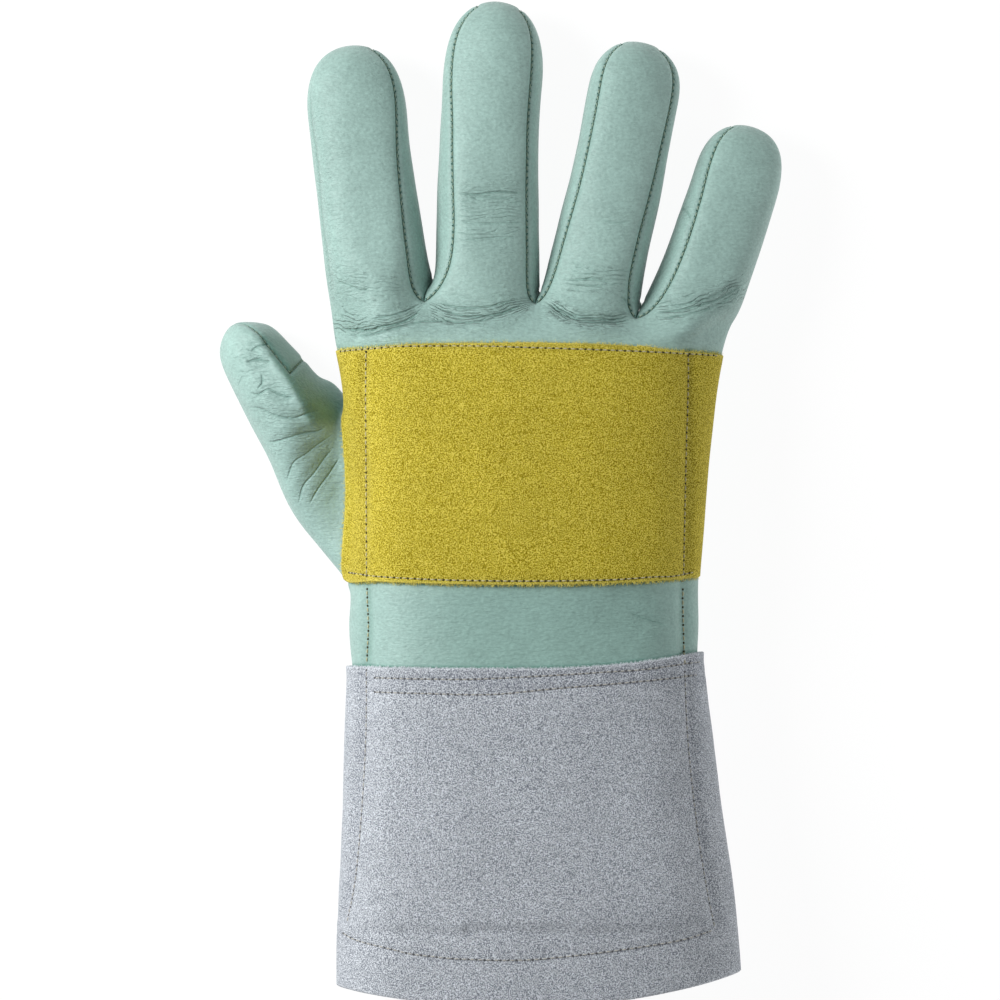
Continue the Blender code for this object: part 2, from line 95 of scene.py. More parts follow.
# along: share of the hand's length above the cuff. left, right: shares of its width from the middle line.
# crown, sole: shares of its height. rise_left, rise_right: how far the row's ends lie up the hand, as shares
# of its width. A sole below the surface that the glove lies on is pressed flat.
HandRow = namedtuple("HandRow", "name along left right crown sole rise_left rise_right")
HAND_ROWS = (
    HandRow("patch_top", 0.883, 0.487, 0.514, 0.870, -0.007, -0.010, -0.026),
    HandRow("thumb_crotch", 0.700, 0.461, 0.487, 0.955, -0.014, -0.004, -0.014),
    HandRow("palm", 0.525, 0.452, 0.472, 0.985, -0.016, 0.000, 0.000),
    HandRow("thumb_heel", 0.380, 0.456, 0.462, 1.000, -0.014, 0.004, 0.008),
    HandRow("patch_bottom", 0.228, 0.456, 0.452, 0.990, 0.000, 0.010, 0.018),
    HandRow("wrist", 0.117, 0.456, 0.453, 0.975, 0.025, 0.006, 0.026),
    HandRow("cuff_top", 0.000, 0.442, 0.450, 0.972, 0.056, 0.003, 0.040),
)

# along: share of the cuff's length below its top edge. flare: how far it has widened from wrist to mouth.
# rise_left, rise_right: as above. The hand's leather ends inside the cuff at the first of these rows.
CuffRow = namedtuple("CuffRow", "name along flare rise_left rise_right")
CUFF_ROWS = (
    CuffRow("hand_end", 0.087, 0.06, 0.004, 0.041),
    CuffRow("forearm", 0.300, 0.26, 0.010, 0.046),
    CuffRow("middle", 0.550, 0.57, 0.022, 0.056),
    CuffRow("hem_stitches", 0.800, 0.88, 0.040, 0.073),
    CuffRow("mouth", 1.000, 1.00, 0.041, 0.077),
)

# root_x, root_along: shares of the hand's width and length. lean, curl: how far the finger's middle line
# strays sideways, straight and curved, as shares of its length. tip: length of the rounded tip.
Finger = namedtuple("Finger", "name root_x root_along length width height tip lean curl")
FINGERS = (
    Finger("index", -0.361, 1.000, 78.7 * MM, 30.2 * MM, 26.0 * MM, 17.5 * MM, -0.184, 0.056),
    Finger("middle", -0.095, 1.000, 92.1 * MM, 30.4 * MM, 26.5 * MM, 20.0 * MM, -0.014, 0.056),
    Finger("ring", 0.168, 0.997, 79.9 * MM, 27.7 * MM, 25.0 * MM, 13.5 * MM, 0.240, -0.040),
    Finger("little", 0.420, 0.954, 59.2 * MM, 27.0 * MM, 23.0 * MM, 14.0 * MM, 0.420, -0.090),
)

# along: share of the finger below its rounded tip. width, top, sole: shares of the finger's width and height.
FingerRow = namedtuple("FingerRow", "along width top sole")
FINGER_ROWS = (
    FingerRow(0.20, 1.050, 1.18, 0.03),
    FingerRow(0.50, 1.010, 1.12, 0.10),
    FingerRow(0.78, 0.985, 1.03, 0.07),
    FingerRow(1.00, 0.975, 0.93, -0.02),
)
TIP_TURNS = (math.radians(36), math.radians(64))
# Where the seams beside the strips run, as shares of the half width: at the four rows above, then the two of
# the tip.
FingerSeams = namedtuple("FingerSeams", "left right")
FINGER_SEAMS = {
    "index": FingerSeams((0.70, 0.74, 0.78, 0.82, 0.90, 0.95), (0.61, 0.70, 0.79, 0.88, 0.94, 0.96)),
    "middle": FingerSeams((0.66, 0.72, 0.82, 0.91, 0.975, 0.985), (0.80, 0.80, 0.79, 0.80, 0.90, 0.96)),
    "ring": FingerSeams((0.88, 0.81, 0.78, 0.79, 0.86, 0.92), (0.72, 0.80, 0.88, 0.93, 0.96, 0.97)),
    "little": FingerSeams((0.65, 0.64, 0.68, 0.73, 0.80, 0.88), (0.74, 0.76, 0.80, 0.84, 0.90, 0.95)),
}
FINGER_SIDE_HEIGHT = 0.47
FINGER_ROUND = 2.9
TIP_HEIGHT = 0.42  # height of the very tip, as a share of the finger's height

# The crotch between two fingers: where the back's seam, the middle of the strips and the palm's seam lie, as
# shares of the hand's width and length.
Crotch = namedtuple("Crotch", "back_x back_along web_x web_along palm_x palm_along")
CROTCHES = (
    Crotch(-0.260, 1.000, -0.229, 1.062, -0.236, 1.040),
    Crotch(0.028, 0.997, 0.044, 1.022, 0.040, 1.012),
    Crotch(0.285, 0.954, 0.303, 0.995, 0.298, 0.984),
)
CROTCH_BACK_HEIGHT = 0.62  # shares of the hand's height
CROTCH_WEB_HEIGHT = 0.36
CROTCH_PALM_HEIGHT = 0.11

# The row where fingers and hand meet. knuckle: how far each finger's root lies below its crotches.
KNUCKLE_DROPS = (0.030, 0.018, 0.026, 0.034)  # shares of the hand's length
KNUCKLE_HEIGHT = 0.770
KNUCKLE_SOLE = -0.010
OUTER_ALONG = 0.937
OUTER_LEFT = 0.497
OUTER_RIGHT = 0.542

# share: of the thumb's length. width, top, sole: shares of its width and height. turn: the row's slant.
ThumbRow = namedtuple("ThumbRow", "share width top sole turn")
THUMB_ROWS = (
    ThumbRow(0.18, 1.66, 0.80, -0.01, math.radians(74)),
    ThumbRow(0.38, 1.13, 1.00, -0.02, math.radians(62)),
    ThumbRow(0.56, 0.98, 1.00, -0.02, math.radians(53)),
    ThumbRow(0.73, 0.83, 0.92, -0.01, math.radians(44)),
    ThumbRow(0.89, 0.66, 0.76, 0.08, math.radians(36)),
)
THUMB_TIP_HEIGHT = 0.40
THUMB_CROSS_SEAM = 3  # from this row to the tip the thumb's inner side belongs to its front piece
# The thumb's section, from the ridge beside the index finger round to the inner side: across and up.
ThumbPoint = namedtuple("ThumbPoint", "across up")
THUMB_SECTION = (
    ThumbPoint(-0.57, 0.96),
    ThumbPoint(-0.16, 1.00),
    ThumbPoint(0.34, 0.97),
    ThumbPoint(0.90, 0.64),
    ThumbPoint(0.90, 0.20),
    ThumbPoint(0.34, 0.00),
    ThumbPoint(-0.34, 0.00),
    ThumbPoint(-1.05, 0.14),
)
THUMB_BACK_FACES = range(0, 4)  # faces round the thumb, counted from the first point
THUMB_INNER_FACE = 7

# The ring of points round the hand: left side, the back from left to right, right side, the palm back again.
RING = 2 * len(COLUMNS) + 2
LEFT = 0
BACK = range(1, 1 + len(COLUMNS))
RIGHT = BACK.stop
BACK_FACES = range(LEFT, RIGHT)
PATCH_ROW_FACES = range(1, 5)  # rows of faces on the hand that the patch covers
THUMB_ROW_FACES = range(2, 5)  # rows of faces on the hand that the thumb's root opens
THUMB_RING_FACE = RING - 1


def hand_y(along):
    """The place along the hand, from a share of its length above the cuff."""
    return (along - ORIGIN_ALONG) * HAND_LENGTH


def bulge(share, exponent):
    """How high a rounded section still is at this share of its half width."""
    return (1 - abs(share) ** exponent) ** (1 / exponent)


def hand_ring(left, right, crown, sole, y, rise_left, rise_right):
    """The points round one row of the hand or cuff, from real sizes."""
    side = sole + SIDE_HEIGHT * (crown - sole)

    def point(share, height):
        reach, rise = (left, rise_left) if share < 0 else (right, rise_right)
        return Vector((share * reach, y + rise * share * share, height))

    def on_back(share):
        dent = STITCH_DENT if abs(share) == max(COLUMNS) else 0
        return point(share, side + (crown - side) * bulge(share, CROWN_ROUND) - dent)

    def on_palm(share):
        return point(share, side - (side - sole) * bulge(share, SOLE_ROUND))

    back = [on_back(share) for share in COLUMNS]
    palm = [on_palm(share) for share in reversed(COLUMNS)]
    return [point(-1, side), *back, point(1, side), *palm]


def hand_rows():
    """The rings of the hand below the knuckles, down to the top edge of the cuff."""
    return [
        hand_ring(
            row.left * HAND_WIDTH,
            row.right * HAND_WIDTH,
            row.crown * HAND_HEIGHT,
            row.sole * HAND_HEIGHT,
            hand_y(row.along),
            row.rise_left * HAND_WIDTH,
            row.rise_right * HAND_WIDTH,
        )
        for row in HAND_ROWS
    ]


def cuff_rows():
    """The rings under the cuff's leather, which widen from the wrist to the mouth."""
    wrist = HAND_ROWS[-1]
    layer = CUFF_WALL + LAYER_GAP
    mouth_left = MOUTH_WIDTH / 2 - MOUTH_SHIFT - layer
    mouth_right = MOUTH_WIDTH / 2 + MOUTH_SHIFT - layer
    rings = []
    for row in CUFF_ROWS:
        flare = row.flare
        rings.append(
            hand_ring(
                (1 - flare) * wrist.left * HAND_WIDTH + flare * mouth_left,
                (1 - flare) * wrist.right * HAND_WIDTH + flare * mouth_right,
                (1 - flare) * wrist.crown * HAND_HEIGHT + flare * (MOUTH_HEIGHT - layer),
                CUFF_SOLE,
                hand_y(0) - row.along * CUFF_LENGTH,
                row.rise_left * HAND_WIDTH,
                row.rise_right * HAND_WIDTH,
            )
        )
    return rings


def finger_ring(centre, slant, half_width, top, sole, seam_left, seam_right):
    """The eight points round a finger, from its back left over the back, right, palm and left side."""
    across = Vector((math.cos(slant), -math.sin(slant), 0))
    side = sole + FINGER_SIDE_HEIGHT * (top - sole)
    left = bulge(seam_left, FINGER_ROUND)
    right = bulge(seam_right, FINGER_ROUND)
    section = (
        (-seam_left, side + (top - side) * left),
        (0, top),
        (seam_right, side + (top - side) * right),
        (1, side),
        (seam_right, side - (side - sole) * right),
        (0, sole),
        (-seam_left, side - (side - sole) * left),
        (-1, side),
    )
    return [centre + across * (share * half_width) + Vector((0, 0, height)) for share, height in section]


def finger_rows(finger):
    """A finger's rings from its root to its tip, then the tip itself."""
    body = finger.length - finger.tip

    def middle(reach):
        share = reach / finger.length
        stray = finger.lean * share + finger.curl * share * share
        x = finger.root_x * HAND_WIDTH + stray * finger.length
        slant = math.atan(finger.lean + 2 * finger.curl * share)
        return Vector((x, hand_y(finger.root_along) + reach, 0)), slant

    seams = list(zip(*FINGER_SEAMS[finger.name]))
    rings = []
    for row, seam in zip(FINGER_ROWS, seams):
        centre, slant = middle(row.along * body)
        top = row.top * finger.height
        sole = row.sole * finger.height
        rings.append(finger_ring(centre, slant, row.width * finger.width / 2, top, sole, *seam))
    last = FINGER_ROWS[-1]
    tip_z = TIP_HEIGHT * finger.height
    for turn, seam in zip(TIP_TURNS, seams[len(FINGER_ROWS):]):
        centre, slant = middle(body + finger.tip * math.sin(turn))
        shrink = math.cos(turn)
        half_width = shrink * last.width * finger.width / 2
        top = tip_z + shrink * (last.top * finger.height - tip_z)
        sole = tip_z + shrink * (last.sole * finger.height - tip_z)
        rings.append(finger_ring(centre, slant, half_width, top, sole, *seam))
    return rings, middle(finger.length)[0] + Vector((0, 0, tip_z))


def thumb_rows():
    """The thumb's rings from the side of the hand to its tip, then the tip itself."""
    root = Vector((THUMB_ROOT_X * HAND_WIDTH, hand_y(THUMB_ROOT_ALONG), 0))
    along = Vector((-math.sin(THUMB_LEAN), math.cos(THUMB_LEAN), 0))

    def point(share, turn, half_width, across, height):
        sideways = Vector((-math.cos(turn), -math.sin(turn), 0))
        middle = root + along * (share * THUMB_LENGTH)
        return middle + sideways * (across * half_width) + Vector((0, 0, height))

    rings = []
    for row in THUMB_ROWS:
        sole = row.sole * THUMB_HEIGHT
        depth = row.top * THUMB_HEIGHT - sole
        half_width = row.width * THUMB_WIDTH / 2
        rings.append(
            [
                point(row.share, row.turn, half_width, place.across, sole + depth * place.up)
                for place in THUMB_SECTION
            ]
        )
    return rings, point(1, 0, 0, 0, THUMB_TIP_HEIGHT * THUMB_HEIGHT)


def knuckle_points():
    """The ring where the fingers meet the hand, and the three webs between them."""

    def point(x, along, height):
        return Vector((x * HAND_WIDTH, hand_y(along), height * HAND_HEIGHT))

    outer = hand_ring(
        OUTER_LEFT * HAND_WIDTH,
        OUTER_RIGHT * HAND_WIDTH,
        KNUCKLE_HEIGHT * HAND_HEIGHT,
        KNUCKLE_SOLE * HAND_HEIGHT,
        hand_y(OUTER_ALONG),
        0,
        0,
    )
    ring = list(outer)
    for number, (finger, drop) in enumerate(zip(FINGERS, KNUCKLE_DROPS)):
        place = BACK[1 + 2 * number]
        root = finger.root_along - drop
        ring[place] = point(finger.root_x, root, KNUCKLE_HEIGHT)
        ring[RING - place] = point(finger.root_x, root, KNUCKLE_SOLE)
    for number, crotch in enumerate(CROTCHES):
        place = BACK[2 + 2 * number]
        ring[place] = point(crotch.back_x, crotch.back_along, CROTCH_BACK_HEIGHT)
        ring[RING - place] = point(crotch.palm_x, crotch.palm_along, CROTCH_PALM_HEIGHT)
    webs = [point(crotch.web_x, crotch.web_along, CROTCH_WEB_HEIGHT) for crotch in CROTCHES]
    return ring, webs


class Net:
    """The glove's points and four-sided faces. Each face keeps the names of the pieces that it belongs to."""

    def __init__(self):
        self.points = []
        self.faces = []
        self.pieces = []

    def add_points(self, points):
        first = len(self.points)
        self.points.extend(points)
        return list(range(first, len(self.points)))

    def add_face(self, corners, pieces):
        self.faces.append(corners)
        self.pieces.append(pieces)

    def add_band(self, lower, upper, pieces_of):
        """The faces between two rings of the same number of points. pieces_of names a column's pieces."""
        count = len(lower)
        for column in range(count):
            pieces = pieces_of(column)
            if pieces:
                after = (column + 1) % count
                self.add_face((lower[column], lower[after], upper[after], upper[column]), pieces)

    def drop_lone_points(self):
        """Removes the points inside the thumb's opening, which no face uses."""
        used = sorted({corner for face in self.faces for corner in face})
        place = {old: new for new, old in enumerate(used)}
        self.points = [self.points[old] for old in used]
        self.faces = [tuple(place[corner] for corner in face) for face in self.faces]


def add_hand(net, knuckles):
    """The bands of faces from the knuckles to the mouth of the cuff. Returns the rings of point numbers."""
    rings = [knuckles]
    rings += [net.add_points(ring) for ring in hand_rows() + cuff_rows()]
    cuffed_from = len(HAND_ROWS)
    hand_to = cuffed_from + 1
    for row, (upper, lower) in enumerate(zip(rings, rings[1:])):

        def pieces_of(column, row=row):
            if row in THUMB_ROW_FACES and column == THUMB_RING_FACE:
                return ()
            on_back = column in BACK_FACES
            pieces = []
            if row < hand_to:
                pieces.append("back_panel" if on_back else "palm_panel")
            if row in PATCH_ROW_FACES and on_back:
                pieces.append("back_patch")
            if row >= cuffed_from:
                pieces.append("cuff_back" if on_back else "cuff_palm")
            return tuple(pieces)

        net.add_band(lower, upper, pieces_of)
    return rings


def add_fingers(net, knuckles, webs):
    """The four fingers on the ring of the knuckles. A strip covers each side that faces another finger."""
    for number, finger in enumerate(FINGERS):
        left, middle, right = (BACK[2 * number + step] for step in range(3))
        is_first = number == 0
        is_last = number == len(FINGERS) - 1
        root = [
            knuckles[left],
            knuckles[middle],
            knuckles[right],
            knuckles[RIGHT] if is_last else webs[number],
            knuckles[RING - right],
            knuckles[RING - middle],
            knuckles[(RING - left) % RING],
            knuckles[LEFT] if is_first else webs[number - 1],
        ]
        towards_next = () if is_last else (f"{finger.name}_strip_{FINGERS[number + 1].name}_side",)
        towards_last = () if is_first else (f"{finger.name}_strip_{FINGERS[number - 1].name}_side",)
        pieces = (
            ("back_panel",),
            ("back_panel",),
            towards_next or ("back_panel",),
            towards_next or ("palm_panel",),
            ("palm_panel",),
            ("palm_panel",),
            towards_last or ("palm_panel",),
            towards_last or ("back_panel",),
        )
        rings, tip = finger_rows(finger)
        below = root
        for ring in rings:
            above = net.add_points(ring)
            net.add_band(below, above, lambda column: pieces[column])
            below = above
        (centre,) = net.add_points([tip])
        back_left, back, back_right, right_side, palm_right, palm, palm_left, left_side = below
        net.add_face((back_left, back, centre, left_side), ("back_panel",))
        net.add_face((back, back_right, right_side, centre), ("back_panel",))
        net.add_face((left_side, centre, palm, palm_left), ("palm_panel",))
        net.add_face((centre, right_side, palm_right, palm), ("palm_panel",))


def add_thumb(net, rings):
    """The thumb, from the opening in the side of the hand."""
    rows = range(THUMB_ROW_FACES.start, THUMB_ROW_FACES.stop + 1)
    upper_line = [rings[row][LEFT] for row in rows]
    lower_line = [rings[row][THUMB_RING_FACE] for row in reversed(rows)]
    below = upper_line + lower_line
    thumb_rings, tip = thumb_rows()
    for number, ring in enumerate(thumb_rings):
        on_front = number >= THUMB_CROSS_SEAM

        def pieces_of(column, on_front=on_front):
            is_inner = column == THUMB_INNER_FACE
            on_back = column in THUMB_BACK_FACES or (is_inner and not on_front)
            return ("thumb_back",) if on_back else ("thumb_front",)

        above = net.add_points(ring)
        net.add_band(below, above, pieces_of)
        below = above
    (centre,) = net.add_points([tip])
    inner, crest, slope, outer, heel, pad, pad_inner, inner_heel = below
    net.add_face((inner, crest, slope, centre), ("thumb_back",))
    net.add_face((slope, outer, heel, centre), ("thumb_back",))
    net.add_face((heel, pad, pad_inner, centre), ("thumb_front",))
    net.add_face((pad_inner, inner_heel, inner, centre), ("thumb_front",))


def glove_net():
    net = Net()
    ring, webs = knuckle_points()
    knuckles = net.add_points(ring)
    web_numbers = net.add_points(webs)
    rings = add_hand(net, knuckles)
    add_fingers(net, knuckles, web_numbers)
    add_thumb(net, rings)
    net.drop_lone_points()
    return net


def fitted(points, faces):
    """Moves the net's points so that the smooth surface it stands for passes through where they were.

    The weights are those of a subdivision surface at its limit. A point's neighbours count 4 and the points
    across its faces 1. On the rim the point itself counts 4 and its two neighbours 1.
    """
    wanted = np.array(points, float)
    quads = np.array(faces)
    count = len(wanted)
    around = np.bincount(quads.ravel(), minlength=count)
    edges = {}
    for face in faces:
        for a, b in zip(face, face[1:] + face[:1]):
            edges.setdefault(frozenset((a, b)), []).append((a, b))
    rim = {}
    for ends in (edge[0] for edge in edges.values() if len(edge) == 1):
        for a, b in (ends, ends[::-1]):
            rim.setdefault(a, []).append(b)
    rim_points = np.array(sorted(rim))
    rim_beside = np.array([rim[point] for point in rim_points])
    weight = (around * (around + 5))[:, None]
    moved = wanted.copy()
    for _ in range(FIT_ROUNDS):
        smooth = moved * (around * around)[:, None]
        for corner in range(4):
            beside = moved[quads[:, corner - 1]] + moved[quads[:, (corner + 1) % 4]]
            across = moved[quads[:, corner - 2]]
            np.add.at(smooth, quads[:, corner], 2 * beside + across)
        smooth /= weight
        smooth[rim_points] = (4 * moved[rim_points] + moved[rim_beside].sum(axis=1)) / 6
        moved += wanted - smooth
    return moved


# The looks start here. Lines are in millimetres: x, then y, as seen from above.
LEVELS = 4  # how often the surface is subdivided
FIT_ROUNDS = 2
EVENING_ROUNDS = 10
OWN_WEIGHT = 2  # of a point's own value against each neighbour's, when values are evened out
ABOVE_GLOVE = 200 * MM  # lines are dropped onto the glove from this height

# Where panels meet, each edge is turned down into the seam.
ROLL_WIDTH = 2.0 * MM
ROLL_DEPTH = 0.70 * MM
TIP_CALM = 15 * MM  # towards a fingertip the edges are turned in less, from this far away
TIP_ROLL_SHARE = 0.2  # and by only this share at the tip itself
CUT_ROUND = 0.35 * MM  # the rounding of a raw edge
RAW_EDGES = ("back_patch", "cuff_back", "cuff_palm")
TUCKED_SHARE = 0.3  # the patch stands out by only this share where its ends face sideways
HEM_FOLD = 1.4 * MM  # the cuff's leather is folded in at its mouth, which adds this thickness inside
HEM_START = 2 * MM  # above the hem's stitches
HEM_SOFTNESS = 1.5 * MM
SHARP_FROM = math.radians(75)
FAR_AWAY = 99.0  # the overlap's distance on the lower side, which has none
STITCH_GROOVE = 0.95 * MM
STITCH_GROOVE_WIDTH = 1.6 * MM
PADDING = 1.3 * MM  # how far the middle of the back stands out between the long stitched lines
PADDING_WIDTH = 7.0 * MM
UNEVEN = 0.35 * MM  # slow unevenness of the leather
UNEVEN_SPAN = 24 * MM
UNEVEN_FROM = 6 * MM  # it is full from this height up
UNEVEN_OCTAVES = (1.0, 2.0, 2)  # their roughness, step and number

# Parts of the surface by the direction that they face: where each share starts, and over what it fades in.
UPPER_FACING = (-0.15, 0.4)
INNER_FACING = (0.15, 0.4)
TUCKED_FACING = (0.05, 0.6)

Crease = namedtuple("Crease", "depth line")
CREASES = (
    # Outer seam of the index finger
    Crease(0.5, ((-64.3, 118.1), (-65.1, 114.0), (-64.8, 103.6), (-63.1, 92.1), (-61.4, 72.5),
        (-59.6, 61.0), (-57.9, 49.4))),
    # Under the index finger
    Crease(0.75, ((-57.2, 41.2), (-51.3, 41.0), (-46.1, 40.7), (-43.9, 41.7), (-38.7, 42.5), (-33.5, 44.7),
        (-30.5, 48.1))),
    Crease(0.60, ((-56.5, 40.0), (-49.1, 39.2), (-43.9, 40.1), (-37.2, 41.8), (-29.9, 43.2), (-22.4, 43.2),
        (-16.5, 42.9), (-10.7, 44.0), (-5.5, 46.2), (0.5, 49.2))),
    Crease(0.45, ((-31.3, 48.8), (-36.5, 46.2), (-41.7, 44.7), (-46.8, 44.0))),
    Crease(0.35, ((-57.2, 56.2), (-53.5, 54.4), (-49.1, 52.9), (-46.1, 53.6))),
    # Under the middle finger
    Crease(0.60, ((-28.3, 49.2), (-24.7, 46.9), (-20.2, 45.4), (-15.0, 44.7), (-9.1, 45.5), (-3.9, 46.9),
        (1.2, 49.5))),
    Crease(0.45, ((-26.9, 49.9), (-23.2, 48.3), (-18.0, 47.3), (-12.1, 47.7), (-6.1, 48.8), (-1.7, 50.3))),
    # Across the middle finger
    Crease(0.50, ((-20.2, 82.5), (-15.0, 81.9), (-9.8, 82.5), (-5.4, 82.6), (0.5, 82.3))),
    Crease(0.35, ((-17.2, 80.6), (-12.0, 81.1), (-6.8, 80.8), (-2.4, 80.2))),
    Crease(0.25, ((-20.2, 73.6), (-14.3, 73.2), (-9.1, 72.9), (-4.6, 73.2), (-0.2, 73.0))),
    Crease(0.25, ((-18.7, 67.7), (-13.5, 68.4), (-7.6, 68.8), (-1.7, 68.8))),
    # Under the ring finger
    Crease(0.75, ((6.0, 49.9), (8.8, 47.8), (12.3, 45.4), (17.2, 43.7), (22.8, 43.0), (28.4, 43.0),
        (33.2, 44.0))),
    Crease(0.50, ((7.4, 49.3), (10.9, 47.1), (15.8, 45.0), (22.1, 44.0), (27.7, 43.9), (32.5, 44.5))),
    Crease(0.40, ((13.0, 55.9), (17.9, 56.2), (22.8, 55.9), (27.0, 54.8))),
    Crease(0.30, ((15.1, 54.5), (19.9, 54.2), (24.8, 53.8))),
    Crease(0.20, ((22.8, 74.7), (27.7, 73.3), (32.5, 73.7))),
    Crease(0.35, ((29.6, 51.1), (31.7, 49.0), (33.2, 47.5))),
    # Under the little finger
    Crease(0.60, ((39.5, 46.1), (45.1, 46.5), (52.1, 47.9), (57.6, 49.6), (63.2, 52.4), (67.4, 55.5))),
    Crease(0.45, ((40.9, 44.7), (46.5, 45.0), (53.4, 46.5), (59.0, 48.6), (64.6, 51.7))),
    Crease(0.35, ((43.6, 47.9), (50.7, 48.9), (56.2, 50.6), (61.1, 53.1), (66.7, 55.9))),
    Crease(0.40, ((48.5, 78.3), (49.9, 76.8), (50.7, 74.7))),
    # On the thumb
    Crease(0.55, ((-85.0, 31.0), (-81.6, 32.0), (-78.9, 31.5), (-76.5, 31.3))),
    Crease(0.55, ((-83.2, 34.3), (-81.2, 36.0), (-78.9, 36.5), (-77.2, 37.0))),
    Crease(0.55, ((-83.6, 22.2), (-81.2, 21.2), (-77.9, 22.9), (-75.5, 21.8), (-72.1, 20.5),
        (-68.8, 20.2))),
    Crease(0.50, ((-83.9, 17.5), (-80.2, 17.1), (-76.2, 15.1), (-70.1, 14.1), (-66.1, 15.4),
        (-62.0, 16.4))),
    Crease(0.45, ((-81.2, 22.9), (-79.6, 24.9), (-79.9, 27.6))),
    Crease(0.55, ((-79.0, 6.8), (-75.5, 7.0), (-72.1, 8.0), (-67.4, 9.4), (-62.7, 10.2), (-60.0, 11.7))),
    Crease(0.40, ((-58.0, 9.4), (-62.0, 6.7), (-66.1, 3.3), (-70.1, 0.6), (-72.1, -4.1), (-72.5, -6.2))),
    Crease(0.45, ((-58.0, 5.3), (-60.7, 1.9), (-64.0, -2.8), (-67.4, -6.8), (-69.1, -12.9))),
    Crease(0.42, ((-55.9, 2.6), (-59.3, -2.8), (-62.7, -7.5), (-65.7, -12.6))),
    # On the wrist
    Crease(0.25, ((30.8, -44.7), (36.5, -46.9), (42.4, -48.9))),
)
CREASE_WIDTH = 0.30  # millimetres, of the sharp line of a crease in the leather's material: a dent with painted shade
FOLD_WIDTH = 1.2 * MM  # of the soft fold around it, in the mesh
FOLD_SHARE = 0.5
LIP_SHARE = 0.3  # beside the fold the leather is raised
LIP_PLACE = 2.4 * FOLD_WIDTH
CREASE_REACH = 2.5 * MM
CREASE_SIDE_FADE = 0.4 * CREASE_REACH
CREASE_END_FADE = 0.18  # share of its length
CREASE_LAYERS = 4
WRINKLE_SPREAD = 5.0 * MM  # fine wrinkles surround a crease this far

# Families of fine folds: count of them lie between two lines.
Folds = namedtuple("Folds", "count depth first last")
FOLDS = (
    # Under the four fingers, from the index finger on
    Folds(6, 0.48, ((-56.1, 50.2), (-50.0, 46.5), (-40.9, 46.5), (-30.5, 49.3)),
          ((-56.7, 38.6), (-46.9, 38.9), (-37.8, 40.7), (-30.5, 45.3))),
    Folds(8, 0.62, ((-28.7, 50.5), (-21.0, 48.7), (-11.9, 49.0), (-2.7, 50.5), (3.4, 51.1)),
          ((-32.3, 46.5), (-24.1, 42.3), (-13.4, 41.7), (-2.7, 44.7), (4.9, 48.4))),
    Folds(6, 0.62, ((7.3, 51.1), (15.6, 47.2), (23.2, 45.9), (33.0, 46.5)),
          ((5.2, 47.8), (12.5, 42.6), (23.2, 40.4), (35.4, 42.9))),
    Folds(7, 0.52, ((38.5, 50.2), (50.7, 52.6), (59.8, 55.4), (68.3, 60.0)),
          ((36.9, 42.6), (47.6, 42.6), (58.3, 45.9), (66.5, 50.2))),
    # Across the middle, ring and index fingers
    Folds(13, 0.24, ((-20.4, 84.4), (-10.4, 84.1), (0.6, 83.8)),
          ((-20.4, 65.5), (-10.4, 66.1), (0.6, 66.7))),
    Folds(6, 0.30, ((12.5, 61.8), (23.2, 60.6), (32.3, 60.0)),
          ((8.6, 52.6), (17.1, 52.0), (29.3, 52.0))),
    Folds(8, 0.20, ((-61.0, 61.8), (-53.1, 60.0), (-43.9, 57.8), (-35.4, 56.9)),
          ((-58.5, 50.2), (-50.0, 49.0), (-39.3, 49.6), (-31.7, 50.8))),
    # On the thumb
    Folds(9, 0.26, ((-92.0, 38.0), (-84.0, 40.0), (-76.0, 34.0)),
          ((-86.0, 14.0), (-76.0, 18.0), (-62.0, 18.0))),
)
FOLDS_END_FADE = 0.12  # shares of the family's length and breadth
FOLDS_SIDE_FADE = 0.2

# Stitched lines seen from above.
LEFT_LINE = (
    (-47.9, 34.6), (-47.9, 6.9), (-47.6, -36.7), (-47.2, -48.0), (-47.6, -58.1), (-47.7, -60.8),
    (-47.9, -84.0), (-49.4, -109.3), (-51.2, -127.0), (-53.7, -139.5),
)
RIGHT_LINE = (
    (49.7, 33.4), (49.7, 24.6), (49.4, 13.9), (49.1, 6.0), (48.2, -36.7), (48.2, -44.7), (48.5, -55.6),
    (49.4, -82.2), (52.2, -109.3), (55.2, -128.8), (57.7, -140.7),
)
PATCH_TOP_LINE = (
    (-56.2, 34.4), (-51.8, 34.7), (-44.8, 35.1), (-37.2, 35.6), (-28.0, 35.7), (-15.5, 35.6), (2.0, 35.2),
    (29.3, 34.3), (47.9, 33.6), (59.5, 33.1),
)
PATCH_BOTTOM_LINE = (
    (-53.6, -32.8), (-47.6, -33.6), (-43.3, -34.0), (-35.7, -34.4), (-23.5, -34.9), (0.0, -35.2),
    (24.4, -34.9), (39.4, -34.0), (44.9, -33.9), (52.0, -32.6),
)
CUFF_TOP_LINE = (
    (-45.6, -64.6), (-29.9, -64.8), (-15.0, -64.8), (9.5, -63.6), (24.1, -62.7), (35.7, -62.0),
    (48.2, -60.5), (54.0, -60.0),
)
CUFF_LOW_LINE = (
    (-45.6, -68.9), (-29.9, -69.2), (-10.0, -69.4), (9.5, -67.6), (26.3, -66.3), (40.3, -65.1),
    (47.0, -64.5), (53.1, -63.8),
)
HEM_LINE = (
    (-55.2, -142.0), (-51.2, -143.8), (-41.2, -145.9), (-34.1, -147.4), (-27.1, -148.1), (-19.8, -148.7),
    (-0.3, -149.0), (18.0, -147.4), (36.3, -145.1), (47.9, -143.3), (57.4, -140.7),
)
